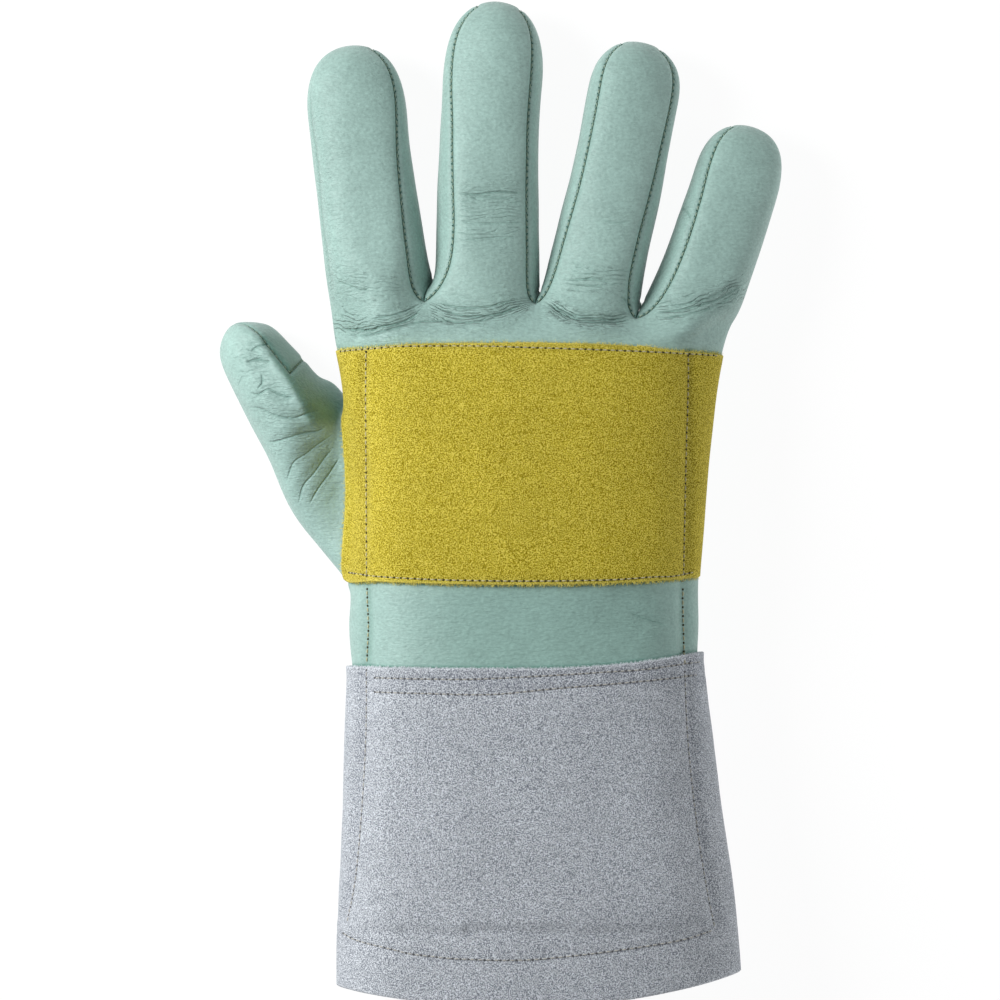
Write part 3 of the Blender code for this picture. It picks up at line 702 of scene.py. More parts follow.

# The grooves of the stitched lines, the painted shade, and the places where they begin, end and fade.
PATCH_END = -36.8 * MM  # where the long stitched lines leave the patch and reach the cuff
WRIST_END = -61.5 * MM
ROW_MARGIN = 0.5 * MM  # their grooves reach this far past their upper ends
CROSS_GROOVE = 0.3  # lines across the glove have shallower and narrower grooves
CROSS_GROOVE_WIDTH = 0.7 * STITCH_GROOVE_WIDTH
THUMB_SIDE = -44 * MM  # the thumb lies to the left of this, the wrist to the right
WRIST_PAINTED_SHADE = 0.9  # painted shade across the middle of the wrist, between the patch and the cuff
WRIST_PAINTED_SHADE_MARGINS = (3 * MM, 6 * MM)  # it reaches this far under the patch and the cuff
WRIST_PAINTED_SHADE_SPAN = 30 * MM
INNER_PAINTED_SHADE = 2.4  # and painted shade on the thumb's side that faces the hand
INNER_START = 10 * MM
INNER_END = 42 * MM
INNER_FADE = 5 * MM
PAINTED_SHADE_FADE = 4 * MM

CURVE_STEPS = 24  # points between two of a line's own points, before they are evened out
LINE_STEP = 1.0 * MM  # from point to point when they are
RESTING_SOFTNESS = 0.5 * MM  # the rounding where the glove leaves the floor
CLEAR_OF_FLOOR = 2.0 * MM
FAR_APART = 1.0  # metres
TINY = 1e-12  # these two keep divisions from failing
SMALL = 1e-9


def smoothstep(share):
    share = np.clip(share, 0, 1)
    return share * share * (3 - 2 * share)


def between_ends(share, fade):
    """1 in the middle of a share from 0 to 1, and fading to 0 at both of its ends."""
    return smoothstep(share / fade) * smoothstep((1 - share) / fade)


def bell(distance, width):
    return np.exp(-((distance / width) ** 2))


def facing_share(directions, start, fade):
    """0 below this much of the direction, and 1 well above it."""
    return smoothstep((directions - start) / fade)


def unit(vectors):
    return vectors / np.maximum(np.linalg.norm(vectors, axis=1), TINY)[:, None]


def gathered(places, values, count):
    """Adds up the rows of values, each at its own place."""
    return np.stack([np.bincount(places, column, count) for column in values.T], axis=1)


def quad_edges(faces):
    return np.vstack([faces[:, (corner, (corner + 1) % 4)] for corner in range(4)])


def distance_to(points, chosen):
    """How far every point is from the nearest of the chosen ones, which are given by number."""
    finder = kdtree.KDTree(len(chosen))
    for number in chosen:
        finder.insert(points[number], int(number))
    finder.balance()
    return np.array([finder.find(point)[2] for point in points])


def add_object(name, data):
    made = bpy.data.objects.new(name, data)
    bpy.context.scene.collection.objects.link(made)
    return made


def smooth_line(points):
    """Evenly spaced points on a smooth curve through these points."""
    known = np.array(points, float)
    before = np.vstack((2 * known[0] - known[1], known[:-1]))
    after = np.vstack((known[1:], 2 * known[-1] - known[-2]))
    slope = (after - before) / 2
    dense = []
    for a, b, slope_a, slope_b in zip(known, known[1:], slope, slope[1:]):
        t = np.linspace(0, 1, CURVE_STEPS, endpoint=False)[:, None]
        dense.append(
            (2 * t**3 - 3 * t**2 + 1) * a + (t**3 - 2 * t**2 + t) * slope_a
            + (3 * t**2 - 2 * t**3) * b + (t**3 - t**2) * slope_b
        )
    dense = np.vstack((*dense, known[-1:]))
    reach = reach_along(dense)
    count = max(2, round(reach[-1] / LINE_STEP) + 1)
    return along_path(np.linspace(0, reach[-1], count), reach, dense)


def reach_along(path):
    """How far each point of a path lies from its start."""
    return np.concatenate(([0], np.cumsum(np.linalg.norm(np.diff(path, axis=0), axis=1))))


def along_path(wanted, reach, values):
    """The values at these distances along a path."""
    return np.stack([np.interp(wanted, reach, column) for column in values.T], axis=-1)


def in_mm(line):
    return smooth_line(np.array(line) * MM)


def from_line(places, line):
    """For every place: its signed distance from the line, and how far along the line that is, from 0 to 1."""
    best = np.full(len(places), np.inf)
    signed = np.zeros(len(places))
    along = np.zeros(len(places))
    start = 0.0
    for a, b in zip(line, line[1:]):
        step = b - a
        length = np.hypot(*step)
        offset = places - a
        share = np.clip(offset @ step / length**2, 0, 1)
        gap = offset - share[:, None] * step
        distance = np.hypot(gap[:, 0], gap[:, 1])
        nearer = distance < best
        side = np.where(step[0] * offset[:, 1] - step[1] * offset[:, 0] < 0, -1, 1)
        best[nearer] = distance[nearer]
        signed[nearer] = (side * distance)[nearer]
        along[nearer] = start + (share * length)[nearer]
        start += length
    return signed, along / start


class Surface:
    """The glove's outer surface: points, four-sided faces, edges, and the net's face that each comes from."""

    def __init__(self, net):
        mesh = bpy.data.meshes.new("surface")
        mesh.from_pydata([tuple(point) for point in fitted(net.points, net.faces)], [], net.faces)
        fixing = bmesh.new()
        fixing.from_mesh(mesh)
        bmesh.ops.recalc_face_normals(fixing, faces=fixing.faces)
        fixing.to_mesh(mesh)
        fixing.free()
        numbers = mesh.attributes.new("net_face", "INT", "FACE")
        numbers.data.foreach_set("value", range(len(net.faces)))
        guide = add_object("surface", mesh)
        smoothing = guide.modifiers.new("Smooth", "SUBSURF")
        smoothing.levels = LEVELS
        smoothing.render_levels = LEVELS
        evaluated = guide.evaluated_get(bpy.context.evaluated_depsgraph_get())
        fine = evaluated.to_mesh()
        self.points = np.empty((len(fine.vertices), 3))
        fine.vertices.foreach_get("co", self.points.ravel())
        self.faces = np.empty((len(fine.polygons), 4), int)
        fine.polygons.foreach_get("vertices", self.faces.ravel())
        self.net_face = np.empty(len(fine.polygons), int)
        fine.attributes["net_face"].data.foreach_get("value", self.net_face)
        evaluated.to_mesh_clear()
        bpy.data.objects.remove(guide)
        bpy.data.meshes.remove(mesh)
        self.net = net
        self.tips = np.array([*(finger_rows(finger)[1] for finger in FINGERS), thumb_rows()[1]])
        self.edges = np.unique(np.sort(quad_edges(self.faces), axis=1), axis=0)

    def faces_of(self, name):
        of_piece = np.array([name in pieces for pieces in self.net.pieces])
        return self.faces[of_piece[self.net_face]]

    def rest_on_floor(self):
        """Presses the glove flat where it rests, and under the cuff a cuff's thickness higher."""
        floor = np.zeros(len(self.points))
        for name in ("cuff_palm", "cuff_back"):
            floor[np.unique(self.faces_of(name))] = CUFF_WALL + LAYER_GAP
        height = self.points[:, 2] - floor
        soft = RESTING_SOFTNESS
        rounded = soft * np.logaddexp(0, height / soft)
        self.points[:, 2] = floor + np.where(height > CLEAR_OF_FLOOR, height, rounded)

    def spread(self, values):
        """Evens out values over neighbouring points."""
        a, b = self.edges.T
        total = len(self.points)
        count = np.bincount(self.edges.ravel(), minlength=total)
        for _ in range(EVENING_ROUNDS):
            values = OWN_WEIGHT * values + gathered(a, values[b], total) + gathered(b, values[a], total)
            values = values / (count + OWN_WEIGHT)[:, None]
        return values

    def normals(self):
        corner = self.points[self.faces]
        across = np.cross(corner[:, 2] - corner[:, 0], corner[:, 3] - corner[:, 1])
        return unit(sum(gathered(numbers, across, len(self.points)) for numbers in self.faces.T))


def crease_layers(lines):
    """Shares the creases out, so that those of one layer lie well apart."""
    layers = [[] for _ in range(CREASE_LAYERS)]
    for number, line in enumerate(lines):
        room = []
        for layer in layers:
            gaps = [np.min(np.linalg.norm(line[:, None] - lines[other][None], axis=2)) for other in layer]
            room.append(min(gaps, default=FAR_APART))
        widest = next((place for place, gap in enumerate(room) if gap > 2 * CREASE_REACH), None)
        layers[room.index(max(room)) if widest is None else widest].append(number)
    return layers


def unevenness(points):
    """Slow hills and hollows of the leather, which fade out where the glove rests."""
    hills = [noise.fractal(Vector(point) / UNEVEN_SPAN, *UNEVEN_OCTAVES) for point in points]
    return UNEVEN * np.array(hills) * smoothstep(points[:, 2] / UNEVEN_FROM)


def creases(places, upper):
    """What the creases add to the height, how wrinkled the leather is around them, and each layer's marks."""
    height = np.zeros(len(places))
    wrinkles = np.zeros(len(places))
    marks = []
    lines = [in_mm(crease.line) for crease in CREASES]
    for layer in crease_layers(lines):
        nearest = np.full(len(places), np.inf)
        mark = np.zeros((len(places), 3))
        for number in layer:
            signed, along = from_line(places, lines[number])
            distance = np.abs(signed)
            depth = CREASES[number].depth * MM * upper * between_ends(along, CREASE_END_FADE)
            height -= FOLD_SHARE * depth * bell(signed, FOLD_WIDTH)
            height += LIP_SHARE * depth * bell(distance - LIP_PLACE, FOLD_WIDTH)
            wrinkles = np.maximum(wrinkles, depth / MM * bell(distance, WRINKLE_SPREAD))
            closer = distance < nearest
            nearest[closer] = distance[closer]
            fade = smoothstep((CREASE_REACH - distance) / CREASE_SIDE_FADE)
            mark[closer, 0] = (signed / MM)[closer]
            mark[closer, 1] = (depth / MM * fade)[closer]
        marks.append(mark)
    return height, wrinkles, marks


def fine_folds(places, upper):
    """The families of fine folds: a phase that goes up by 1 from fold to fold, and their depth."""
    phase = np.zeros((len(places), 3))
    for number, folds in enumerate(FOLDS):
        first, along = from_line(places, in_mm(folds.first))
        last, _ = from_line(places, in_mm(folds.last))
        between = (first < 0) & (last > 0)
        share = np.abs(first) / np.maximum(np.abs(first) + np.abs(last), SMALL)
        depth = folds.depth * upper * between_ends(along, FOLDS_END_FADE)
        depth *= between_ends(share, FOLDS_SIDE_FADE) * between
        better = depth > phase[:, 1]
        phase[better, 0] = (share * folds.count + number)[better]
        phase[better, 1] = depth[better]
    return phase


def stitched_shapes(places, upper):
    """The grooves of the stitched lines, and the padding between the long ones. Both go from 0 to 1."""
    left, _ = from_line(places, in_mm(LEFT_LINE))
    right, _ = from_line(places, in_mm(RIGHT_LINE))
    hem, _ = from_line(places, in_mm(HEM_LINE))
    top, bottom = (LEFT_LINE[end][1] * MM for end in (0, -1))
    in_rows = (places[:, 1] < top + ROW_MARGIN) & (places[:, 1] > bottom)
    groove = np.zeros(len(places))
    for signed in (left, right):
        groove = np.maximum(groove, upper * in_rows * bell(signed, STITCH_GROOVE_WIDTH))
    for line in (PATCH_TOP_LINE, PATCH_BOTTOM_LINE, CUFF_TOP_LINE, CUFF_LOW_LINE, HEM_LINE):
        signed, _ = from_line(places, in_mm(line))
        groove = np.maximum(groove, CROSS_GROOVE * upper * bell(signed, CROSS_GROOVE_WIDTH))
    inside = (left > 0) & (right < 0) & in_rows
    nearest = np.min(np.abs((left, right, hem)), axis=0)
    return groove, upper * inside * (1 - bell(nearest, PADDING_WIDTH))


def painted_shades(places, facing, upper):
    """Painted shade: across the wrist, and on the thumb's side that faces the hand."""
    x, y = places.T
    above, below = WRIST_PAINTED_SHADE_MARGINS
    wrist = smoothstep((PATCH_END + above - y) / PAINTED_SHADE_FADE) * (y > WRIST_END - below)
    wrist *= upper * smoothstep((x - THUMB_SIDE) / WRIST_PAINTED_SHADE_SPAN)
    inner = smoothstep((y - INNER_START) / INNER_FADE) * smoothstep((INNER_END - y) / INNER_FADE)
    inner *= smoothstep((THUMB_SIDE - x) / PAINTED_SHADE_FADE) * facing_share(facing[:, 0], *INNER_FACING)
    return np.maximum(WRIST_PAINTED_SHADE * wrist, INNER_PAINTED_SHADE * inner)


def shape_surface(surface):
    """Raises and lowers the surface, and keeps what its finish needs: marks, wrinkles, overlap and groove,
    which also place its painted shade and shadow.
    """
    facing = unit(surface.spread(surface.normals()))
    upper = facing_share(facing[:, 2], *UPPER_FACING)
    places = surface.points[:, :2]
    creased, surface.wrinkles, surface.marks = creases(places, upper)
    surface.marks.append(fine_folds(places, upper))
    groove, padding = stitched_shapes(places, upper)
    # The groove's colour mask also carries painted shade: across the wrist and on the thumb's side that faces
    # the hand
    surface.groove = np.maximum(groove, painted_shades(places, facing, upper))
    height = unevenness(surface.points) + creased - STITCH_GROOVE * groove + PADDING * padding
    surface.points += facing * height[:, None]
    surface.facing = unit(surface.spread(surface.normals()))
    # How far each point is from the raw edges of the patch and cuff, beside which the grain leather gets a
    # painted shadow
    rims = np.concatenate([piece_edges(surface.faces_of(name)).ravel() for name in RAW_EDGES])
    surface.overlap = distance_to(surface.points, np.unique(rims))


def piece_edges(faces):
    """The directed edges on the rim of these faces."""
    edges = quad_edges(faces)
    _, first, count = np.unique(np.sort(edges, axis=1), axis=0, return_index=True, return_counts=True)
    return edges[first[count == 1]]


def roll_depth(surface, points, edge):
    """How far the leather drops towards a seam that is this far away. It is calmer at the fingertips."""
    calm = np.ones(len(points))
    for tip in surface.tips:
        calm = np.minimum(calm, smoothstep(np.linalg.norm(points - tip, axis=1) / TIP_CALM))
    depth = ROLL_DEPTH * (TIP_ROLL_SHARE + (1 - TIP_ROLL_SHARE) * calm)
    return depth * np.clip(1 - edge / ROLL_WIDTH, 0, 1) ** 2


def side_heights(surface, name, points, facing, edge, under, over):
    """How far above the surface the leather's upper and lower sides lie, at every point."""
    raised = np.full(len(points), float(over))
    lowered = np.full(len(points), float(under))
    if name not in RAW_EDGES:
        raised -= roll_depth(surface, points, edge)
    elif name == "back_patch":
        tucked = facing_share(facing[:, 2], *TUCKED_FACING)
        raised *= TUCKED_SHARE + (1 - TUCKED_SHARE) * tucked
        lowered *= tucked
    else:
        hem_row = next(row for row in CUFF_ROWS if row.name == "hem_stitches")
        hem = hand_y(0) - hem_row.along * CUFF_LENGTH
        lowered -= HEM_FOLD * smoothstep((hem + HEM_START - points[:, 1]) / HEM_SOFTNESS)
    return raised, lowered


def leather_piece(surface, name, under, over, material, slot):
    """One piece of leather: its faces of the surface as a closed wall with finished edges."""
    faces = surface.faces_of(name)
    used = np.unique(faces)
    place = np.full(len(surface.points), -1)
    place[used] = np.arange(len(used))
    faces = place[faces]
    points = surface.points[used]
    facing = surface.facing[used]
    count = len(points)
    rim = piece_edges(faces)
    start, end = rim.T
    inward = unit(np.cross(facing[start] + facing[end], unit(points[end] - points[start])))
    shift = unit(gathered(start, inward, count) + gathered(end, inward, count))
    rim_points = np.unique(rim)
    on_rim = np.zeros(count)
    on_rim[rim_points] = 1
    edge = distance_to(points, rim_points)

    # The upper side, the lower side, and one more row of points halfway down the rim
    cut = name in RAW_EDGES
    half_gap = SEAM_GAP / 2
    raised, lowered = side_heights(surface, name, points, facing, edge, under, over)
    outer = points + facing * raised[:, None] + shift * (on_rim * (CUT_ROUND if cut else half_gap))[:, None]
    inner = points + facing * lowered[:, None] + shift * (on_rim * half_gap)[:, None]
    drop = CUT_ROUND if cut else 0.5 * (over - ROLL_DEPTH - under)
    middle = points[rim_points] + facing[rim_points] * (raised[rim_points] - drop)[:, None]
    middle += shift[rim_points] * (0 if cut else half_gap)
    between = np.full(count, -1)
    between[rim_points] = 2 * count + np.arange(len(rim_points))
    upper_walls = np.stack((end, start, between[start], between[end]), axis=1)
    lower_walls = np.stack((between[end], between[start], start + count, end + count), axis=1)
    everything = np.vstack((faces, faces[:, ::-1] + count, upper_walls, lower_walls))
    mesh = bpy.data.meshes.new(f"{name}_leather")
    mesh.from_pydata(np.vstack((outer, inner, middle)).tolist(), [], everything.tolist())
    mesh.shade_smooth()
    mesh.set_sharp_from_angle(angle=SHARP_FROM)

    def add_values(kind, values, lower_side=0.0):
        full = np.full((2 * count + len(rim_points), *values.shape[1:]), lower_side)
        full[:count] = values
        full[2 * count:] = values[rim_points]
        is_vector = values.ndim == 2
        attribute = mesh.attributes.new(kind, "FLOAT_VECTOR" if is_vector else "FLOAT", "POINT")
        attribute.data.foreach_set("vector" if is_vector else "value", full.ravel())

    add_values("edge", edge / MM)
    add_values("groove", surface.groove[used])
    add_values("overlap", surface.overlap[used] / MM, FAR_AWAY)
    if slot == "grain_leather":
        add_values("wrinkles", surface.wrinkles[used])
        for number, mark in enumerate(surface.marks[:-1]):
            add_values(f"crease_{number}", mark[used])
        add_values("folds", surface.marks[-1][used])
    piece = add_object(f"{name}_leather", mesh)
    mesh.materials.append(material)
    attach(piece, "root")
    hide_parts(name)
    return piece


class Finish:
    """A material whose nodes are added one by one."""

    def __init__(self, name, **looks):
        self.material = bpy.data.materials.new(name)
        self.material.use_nodes = True
        self.tree = self.material.node_tree
        self.shader = self.tree.nodes["Principled BSDF"].inputs
        for socket, value in looks.items():
            self.shader[socket.replace("_", " ")].default_value = value
        self.place = self.node("ShaderNodeTexCoord").outputs["Object"]

    def node(self, kind, inputs=(), **settings):
        node = self.tree.nodes.new(kind)
        for key, value in settings.items():
            setattr(node, key, value)
        for socket, value in dict(inputs).items():
            self.set(node.inputs[socket], value)
        return node

    def set(self, socket, value):
        if isinstance(value, bpy.types.NodeSocket):
            self.tree.links.new(value, socket)
        else:
            socket.default_value = value

    def math(self, operation, *values, clamp=False):
        node = self.node("ShaderNodeMath", operation=operation, use_clamp=clamp)
        for socket, value in zip(node.inputs, values):
            self.set(socket, value)
        return node.outputs[0]

    def add(self, *values):
        return reduce(lambda total, value: self.math("ADD", total, value), values)

    def times(self, *values):
        return reduce(lambda total, value: self.math("MULTIPLY", total, value), values)

    def weighted(self, *terms):
        """The sum of these values, each times its own weight."""
        return self.add(*(self.times(value, weight) for value, weight in terms))

    def fading(self, value, rate):
        """1 where the value is 0, and less for larger ones, the sooner the higher the rate."""
        return self.math("EXPONENT", self.times(value, -rate))

    def part_of(self, name, output):
        return self.node("ShaderNodeAttribute", attribute_name=name).outputs[output]

    def value(self, name):
        return self.part_of(name, "Fac")

    def vector(self, name):
        return self.node("ShaderNodeSeparateXYZ", {0: self.part_of(name, "Vector")}).outputs

    def texture(self, kind, scale, inputs=(), **settings):
        place = self.node("ShaderNodeMapping", {"Vector": self.place, "Scale": scale}).outputs[0]
        return self.node(kind, {"Vector": place, "Scale": 1, **dict(inputs)}, **settings).outputs

    def noise(self, size, detail, roughness=0.55, stretch=(1, 1, 1)):
        """Noise from -0.5 to 0.5, about. size is that of its features, in metres."""
        scale = tuple(axis / size for axis in stretch)
        made = self.texture("ShaderNodeTexNoise", scale, {"Detail": detail, "Roughness": roughness})
        return self.math("SUBTRACT", made["Fac"], 0.5)

    def cells(self, size):
        """Distance from the middle of rounded cells, from 0 to about 1."""
        return self.texture("ShaderNodeTexVoronoi", (1 / size,) * 3, feature="SMOOTH_F1")["Distance"]

    def mixed(self, share, a, b):
        """The first colour, with this share of the second, up to a limit."""
        share = self.math("MINIMUM", share, MOST_MIXED)
        return self.node("ShaderNodeMix", {0: share, 6: a, 7: b}, data_type="RGBA").outputs[2]

    def raise_by(self, height_mm):
        bump = self.node("ShaderNodeBump", {"Strength": 1.0, "Distance": 1 * MM, "Height": height_mm})
        self.set(self.shader["Normal"], bump.outputs[0])

    def paint(self, colour, brightness):
        """The base colour, made lighter or darker by this share."""
        bright = self.math("ADD", brightness, 1)
        start = colour if isinstance(colour, bpy.types.NodeSocket) else colour[:3]
        made = self.node("ShaderNodeVectorMath", {0: start, 3: bright}, operation="SCALE")
        self.set(self.shader["Base Color"], made.outputs[0])


# The deep tones are what darker seams and nap pits mix towards, and also the painted shade and shadow
GREEN = (0.300, 0.450, 0.408, 1)
GREEN_DEEP = (0.130, 0.270, 0.225, 1)
YELLOW = (0.560, 0.445, 0.018, 1)
YELLOW_DEEP = (0.160, 0.120, 0.002, 1)
YELLOW_PALE = (0.800, 0.690, 0.140, 1)
GREY = (0.430, 0.458, 0.490, 1)
GREY_DEEP = (0.105, 0.120, 0.155, 1)
GREY_PALE = (0.800, 0.840, 0.890, 1)
THREAD = (0.500, 0.460, 0.270, 1)
THREAD_GREEN = (0.330, 0.440, 0.330, 1)
THREAD_GREY = (0.470, 0.460, 0.420, 1)
THREAD_PALE_GREEN = (0.400, 0.520, 0.460, 1)
# Painted shade: the colours of the dark discs laid on the leather at the stitch holes
HOLE = (0.050, 0.045, 0.020, 1)
HOLE_GREY = (0.110, 0.110, 0.110, 1)
HOLE_GREEN = (0.055, 0.145, 0.118, 1)

MOST_MIXED = 0.9

# The grain leather's relief in millimetres, then what darkens it and how much: darker seams, and painted
# shade and shadow in creases, beside what lies on top, in grooves and in crinkles; then its uneven lightness.
FINE_RELIEF = 0.17
PEBBLE_RELIEF = 0.09
CRINKLE_RELIEF = 0.05
WRINKLED_RELIEF = 0.22
CREASE_RELIEF = -0.70
SEAM_DARK = 0.75
CREASE_PAINTED_SHADE = 0.75
CONTACT_PAINTED_SHADOW = 1.1
GROOVE_PAINTED_SHADE = 0.35
CRINKLE_PAINTED_SHADE = -0.22
BROAD_LIGHT = 0.22
PATCHY_LIGHT = 0.22
FINE_LIGHT = 0.75
SEAM_RATE = 2.3  # how soon the darkening fades beside seams, the painted shadow beside what lies on top, and the painted shade along folds
CONTACT_SHADOW_RATE = 2.6
FOLD_RATE = 60.0
CRINKLE_GAIN = 9
CRINKLE_SOFTNESS = 0.3
WANDER = 4.0  # how far the fine folds stray, counted in folds
BREAK_GAIN = 5.0  # how suddenly they break off, and how much of them is left
BREAK_SHARE = 0.8


def grain_leather():
    """Smooth dyed leather: a fine grain, wrinkles round the creases, darker seams, and painted shade in
    creases, folds and grooves, with a painted shadow beside what lies on top.
    """
    finish = Finish(
        "grain_leather", Roughness=0.52, Specular_IOR_Level=0.42, Sheen_Weight=0.12, Sheen_Roughness=0.45
    )
    broad = finish.noise(26 * MM, 2)
    patchy = finish.noise(5 * MM, 3)
    fine = finish.noise(1.0 * MM, 4, 0.65, (0.75, 1.35, 1))
    pebble = finish.cells(1.1 * MM)
    crinkle = finish.math("ABSOLUTE", finish.noise(2.6 * MM, 3, 0.6, (0.38, 1.9, 1)))
    crinkle = finish.math("SMOOTH_MIN", finish.times(crinkle, CRINKLE_GAIN), 1.0, CRINKLE_SOFTNESS)
    crinkle = finish.math("SUBTRACT", crinkle, 1.0)
    wrinkled = finish.value("wrinkles")
    lines = 0.0
    for number in range(CREASE_LAYERS):
        signed, depth, _ = finish.vector(f"crease_{number}")
        line = finish.fading(finish.times(signed, signed), 1 / CREASE_WIDTH**2)
        lines = finish.add(lines, finish.times(line, depth))
    phase, depth, _ = finish.vector("folds")
    wander = finish.noise(7 * MM, 2, 0.5, (0.7, 1.4, 1))
    broken = finish.math("MULTIPLY_ADD", finish.noise(4 * MM, 2), BREAK_GAIN, BREAK_SHARE, clamp=True)
    phase = finish.math("PINGPONG", finish.add(phase, finish.times(wander, WANDER)), 0.5)
    fold = finish.fading(finish.times(phase, phase), FOLD_RATE)
    lines = finish.add(lines, finish.times(fold, depth, broken))
    crinkled = finish.add(finish.times(wrinkled, WRINKLED_RELIEF), CRINKLE_RELIEF)
    height = finish.weighted((fine, FINE_RELIEF), (pebble, PEBBLE_RELIEF), (crinkle, crinkled))
    finish.raise_by(finish.add(height, finish.times(lines, CREASE_RELIEF)))
    overlap = finish.value("overlap")
    # darker seams, then painted shade and shadow: along creases and folds, beside what lies on top, in
    # grooves and crinkles
    dark = finish.weighted(
        (finish.fading(finish.value("edge"), SEAM_RATE), SEAM_DARK),
        (lines, CREASE_PAINTED_SHADE),
        (finish.fading(finish.times(overlap, overlap), CONTACT_SHADOW_RATE), CONTACT_PAINTED_SHADOW),
        (finish.value("groove"), GROOVE_PAINTED_SHADE),
        (finish.times(crinkle, wrinkled), CRINKLE_PAINTED_SHADE),
    )
    light = finish.weighted((broad, BROAD_LIGHT), (patchy, PATCHY_LIGHT), (fine, FINE_LIGHT))
    finish.paint(finish.mixed(dark, GREEN, GREEN_DEEP), light)
    return finish.material


# The suede's nap: its gain, and how much its pits and tips, the painted shade in the grooves and the rubbed
# edges change the colour.
NAP_GAIN = 20.0
SOFT_RELIEF_SHARE = 0.4
PIT_SHARE = 0.85
TIP_SHARE = 0.75
SUEDE_GROOVE_PAINTED_SHADE = 0.30
RUBBED_RATE = 1.8
BROAD_BRUSHED = 0.22
TUFT_BRUSHED = 0.12


def suede(name, colour, deep, pale, relief, edge_share):
    """Brushed leather: a short uneven nap, lighter at raw edges, with painted shade in stitched grooves."""
    finish = Finish(name, Roughness=0.95, Specular_IOR_Level=0.05, Sheen_Weight=0.06, Sheen_Roughness=0.6)
    broad = finish.noise(22 * MM, 3)
    tufts = finish.noise(2.2 * MM, 3, 0.6)
    nap = finish.noise(0.33 * MM, 3, 0.7)
    fibres = finish.noise(0.5 * MM, 2, 0.6, (0.5, 1.3, 1))
    soft_relief = relief * SOFT_RELIEF_SHARE
    finish.raise_by(finish.weighted((nap, relief), (tufts, soft_relief), (fibres, soft_relief)))
    pits = finish.math("MULTIPLY", nap, -NAP_GAIN, clamp=True)
    tips = finish.math("MULTIPLY", nap, NAP_GAIN, clamp=True)
    # the nap's pits, and painted shade in the stitched grooves
    dark = finish.weighted((pits, PIT_SHARE), (finish.value("groove"), SUEDE_GROOVE_PAINTED_SHADE))
    rubbed = finish.fading(finish.value("edge"), RUBBED_RATE)
    light = finish.weighted((tips, TIP_SHARE), (rubbed, edge_share))
    made = finish.mixed(light, finish.mixed(dark, colour, deep), pale)
    finish.paint(made, finish.weighted((broad, BROAD_BRUSHED), (tufts, TUFT_BRUSHED)))
    return finish.material


STRAND_SIZE = 0.25 * MM
STRAND_SHADE = 0.5
THREAD_ROUGH = 0.7
HOLE_ROUGH = 1.0
FIBRE_ROUGH = 0.9


def plain_finish(name, colour, roughness):
    finish = Finish(name, Roughness=roughness)
    finish.paint(colour, finish.times(finish.noise(STRAND_SIZE, 2), STRAND_SHADE))
    return finish.material


class Strands:
    """Many short tubes in one mesh: stitches or fibres."""

    def __init__(self, sides):
        self.sides = sides
        self.points = []
        self.faces = []

    def add(self, path, radii, up):
        """A closed tube along the path, an array of points, with a radius at each."""
        first = len(self.points)
        slope = unit(np.gradient(path, axis=0))
        across = unit(np.cross(slope, up))
        rise = np.cross(across, slope)
        turns = np.arange(self.sides) * 2 * math.pi / self.sides
        for point, radius, side, lift in zip(path, radii, across, rise):
            ring = point + radius * (np.cos(turns)[:, None] * side + np.sin(turns)[:, None] * lift)
            self.points.extend(ring.tolist())
        for row in range(len(path) - 1):
            for turn in range(self.sides):
                after = (turn + 1) % self.sides
                low = first + row * self.sides
                high = low + self.sides
                self.faces.append((low + turn, low + after, high + after, high + turn))
        last = first + (len(path) - 1) * self.sides
        self.faces.append(tuple(first + turn for turn in reversed(range(self.sides))))
        self.faces.append(tuple(last + turn for turn in range(self.sides)))

    def finish(self, name, material, slot):
        mesh = bpy.data.meshes.new(name)
        mesh.from_pydata(self.points, [], self.faces)
        mesh.shade_smooth()
        mesh.materials.append(material)
        piece = add_object(name, mesh)
        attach(piece, "root")


# cover: the share of each stitch that shows. lift: how far its middle stands up. hole: the size of the dark
# disc of painted shade at its hole.
Stitch = namedtuple("Stitch", "cover radius lift hole")
TOP_STITCH = Stitch(0.62, 0.21 * MM, 0.16 * MM, 0.36 * MM)
SEAM_STITCH = Stitch(0.70, 0.16 * MM, 0.10 * MM, None)
STRIP_STITCH = Stitch(0.50, 0.12 * MM, 0.06 * MM, 0.20 * MM)
SEAM_PITCH = 2.1 * MM
STRIP_PITCH = 1.9 * MM
SEAM_SINK = 0.75 * ROLL_DEPTH  # the stitches in a seam lie this deep
BESIDE_SEAM = 0.40 * MM  # and the strips' stitches this far from their seam
STITCH_STEPS = np.linspace(0, 1, 6)
STITCH_DIP = 0.45 * MM  # how deep a stitch's ends go into the leather
STITCH_SLIMMING = 0.35  # and how much thinner they are
HOLE_ACROSS = np.array([-1.0, -0.5, 0.5, 1.0])[:, None]
HOLE_RADII = np.array([0.3, 0.9, 0.9, 0.3])
HOLE_LIFT = 0.02 * MM
AROUND_HOLE = np.array([-0.1, 0, 0.1])[:, None] * MM  # places before, at and after it, for its direction
ALL_ALONG = (-math.inf, math.inf)
SHORTEST_SEAM = 6  # points; shorter ones get no stitches


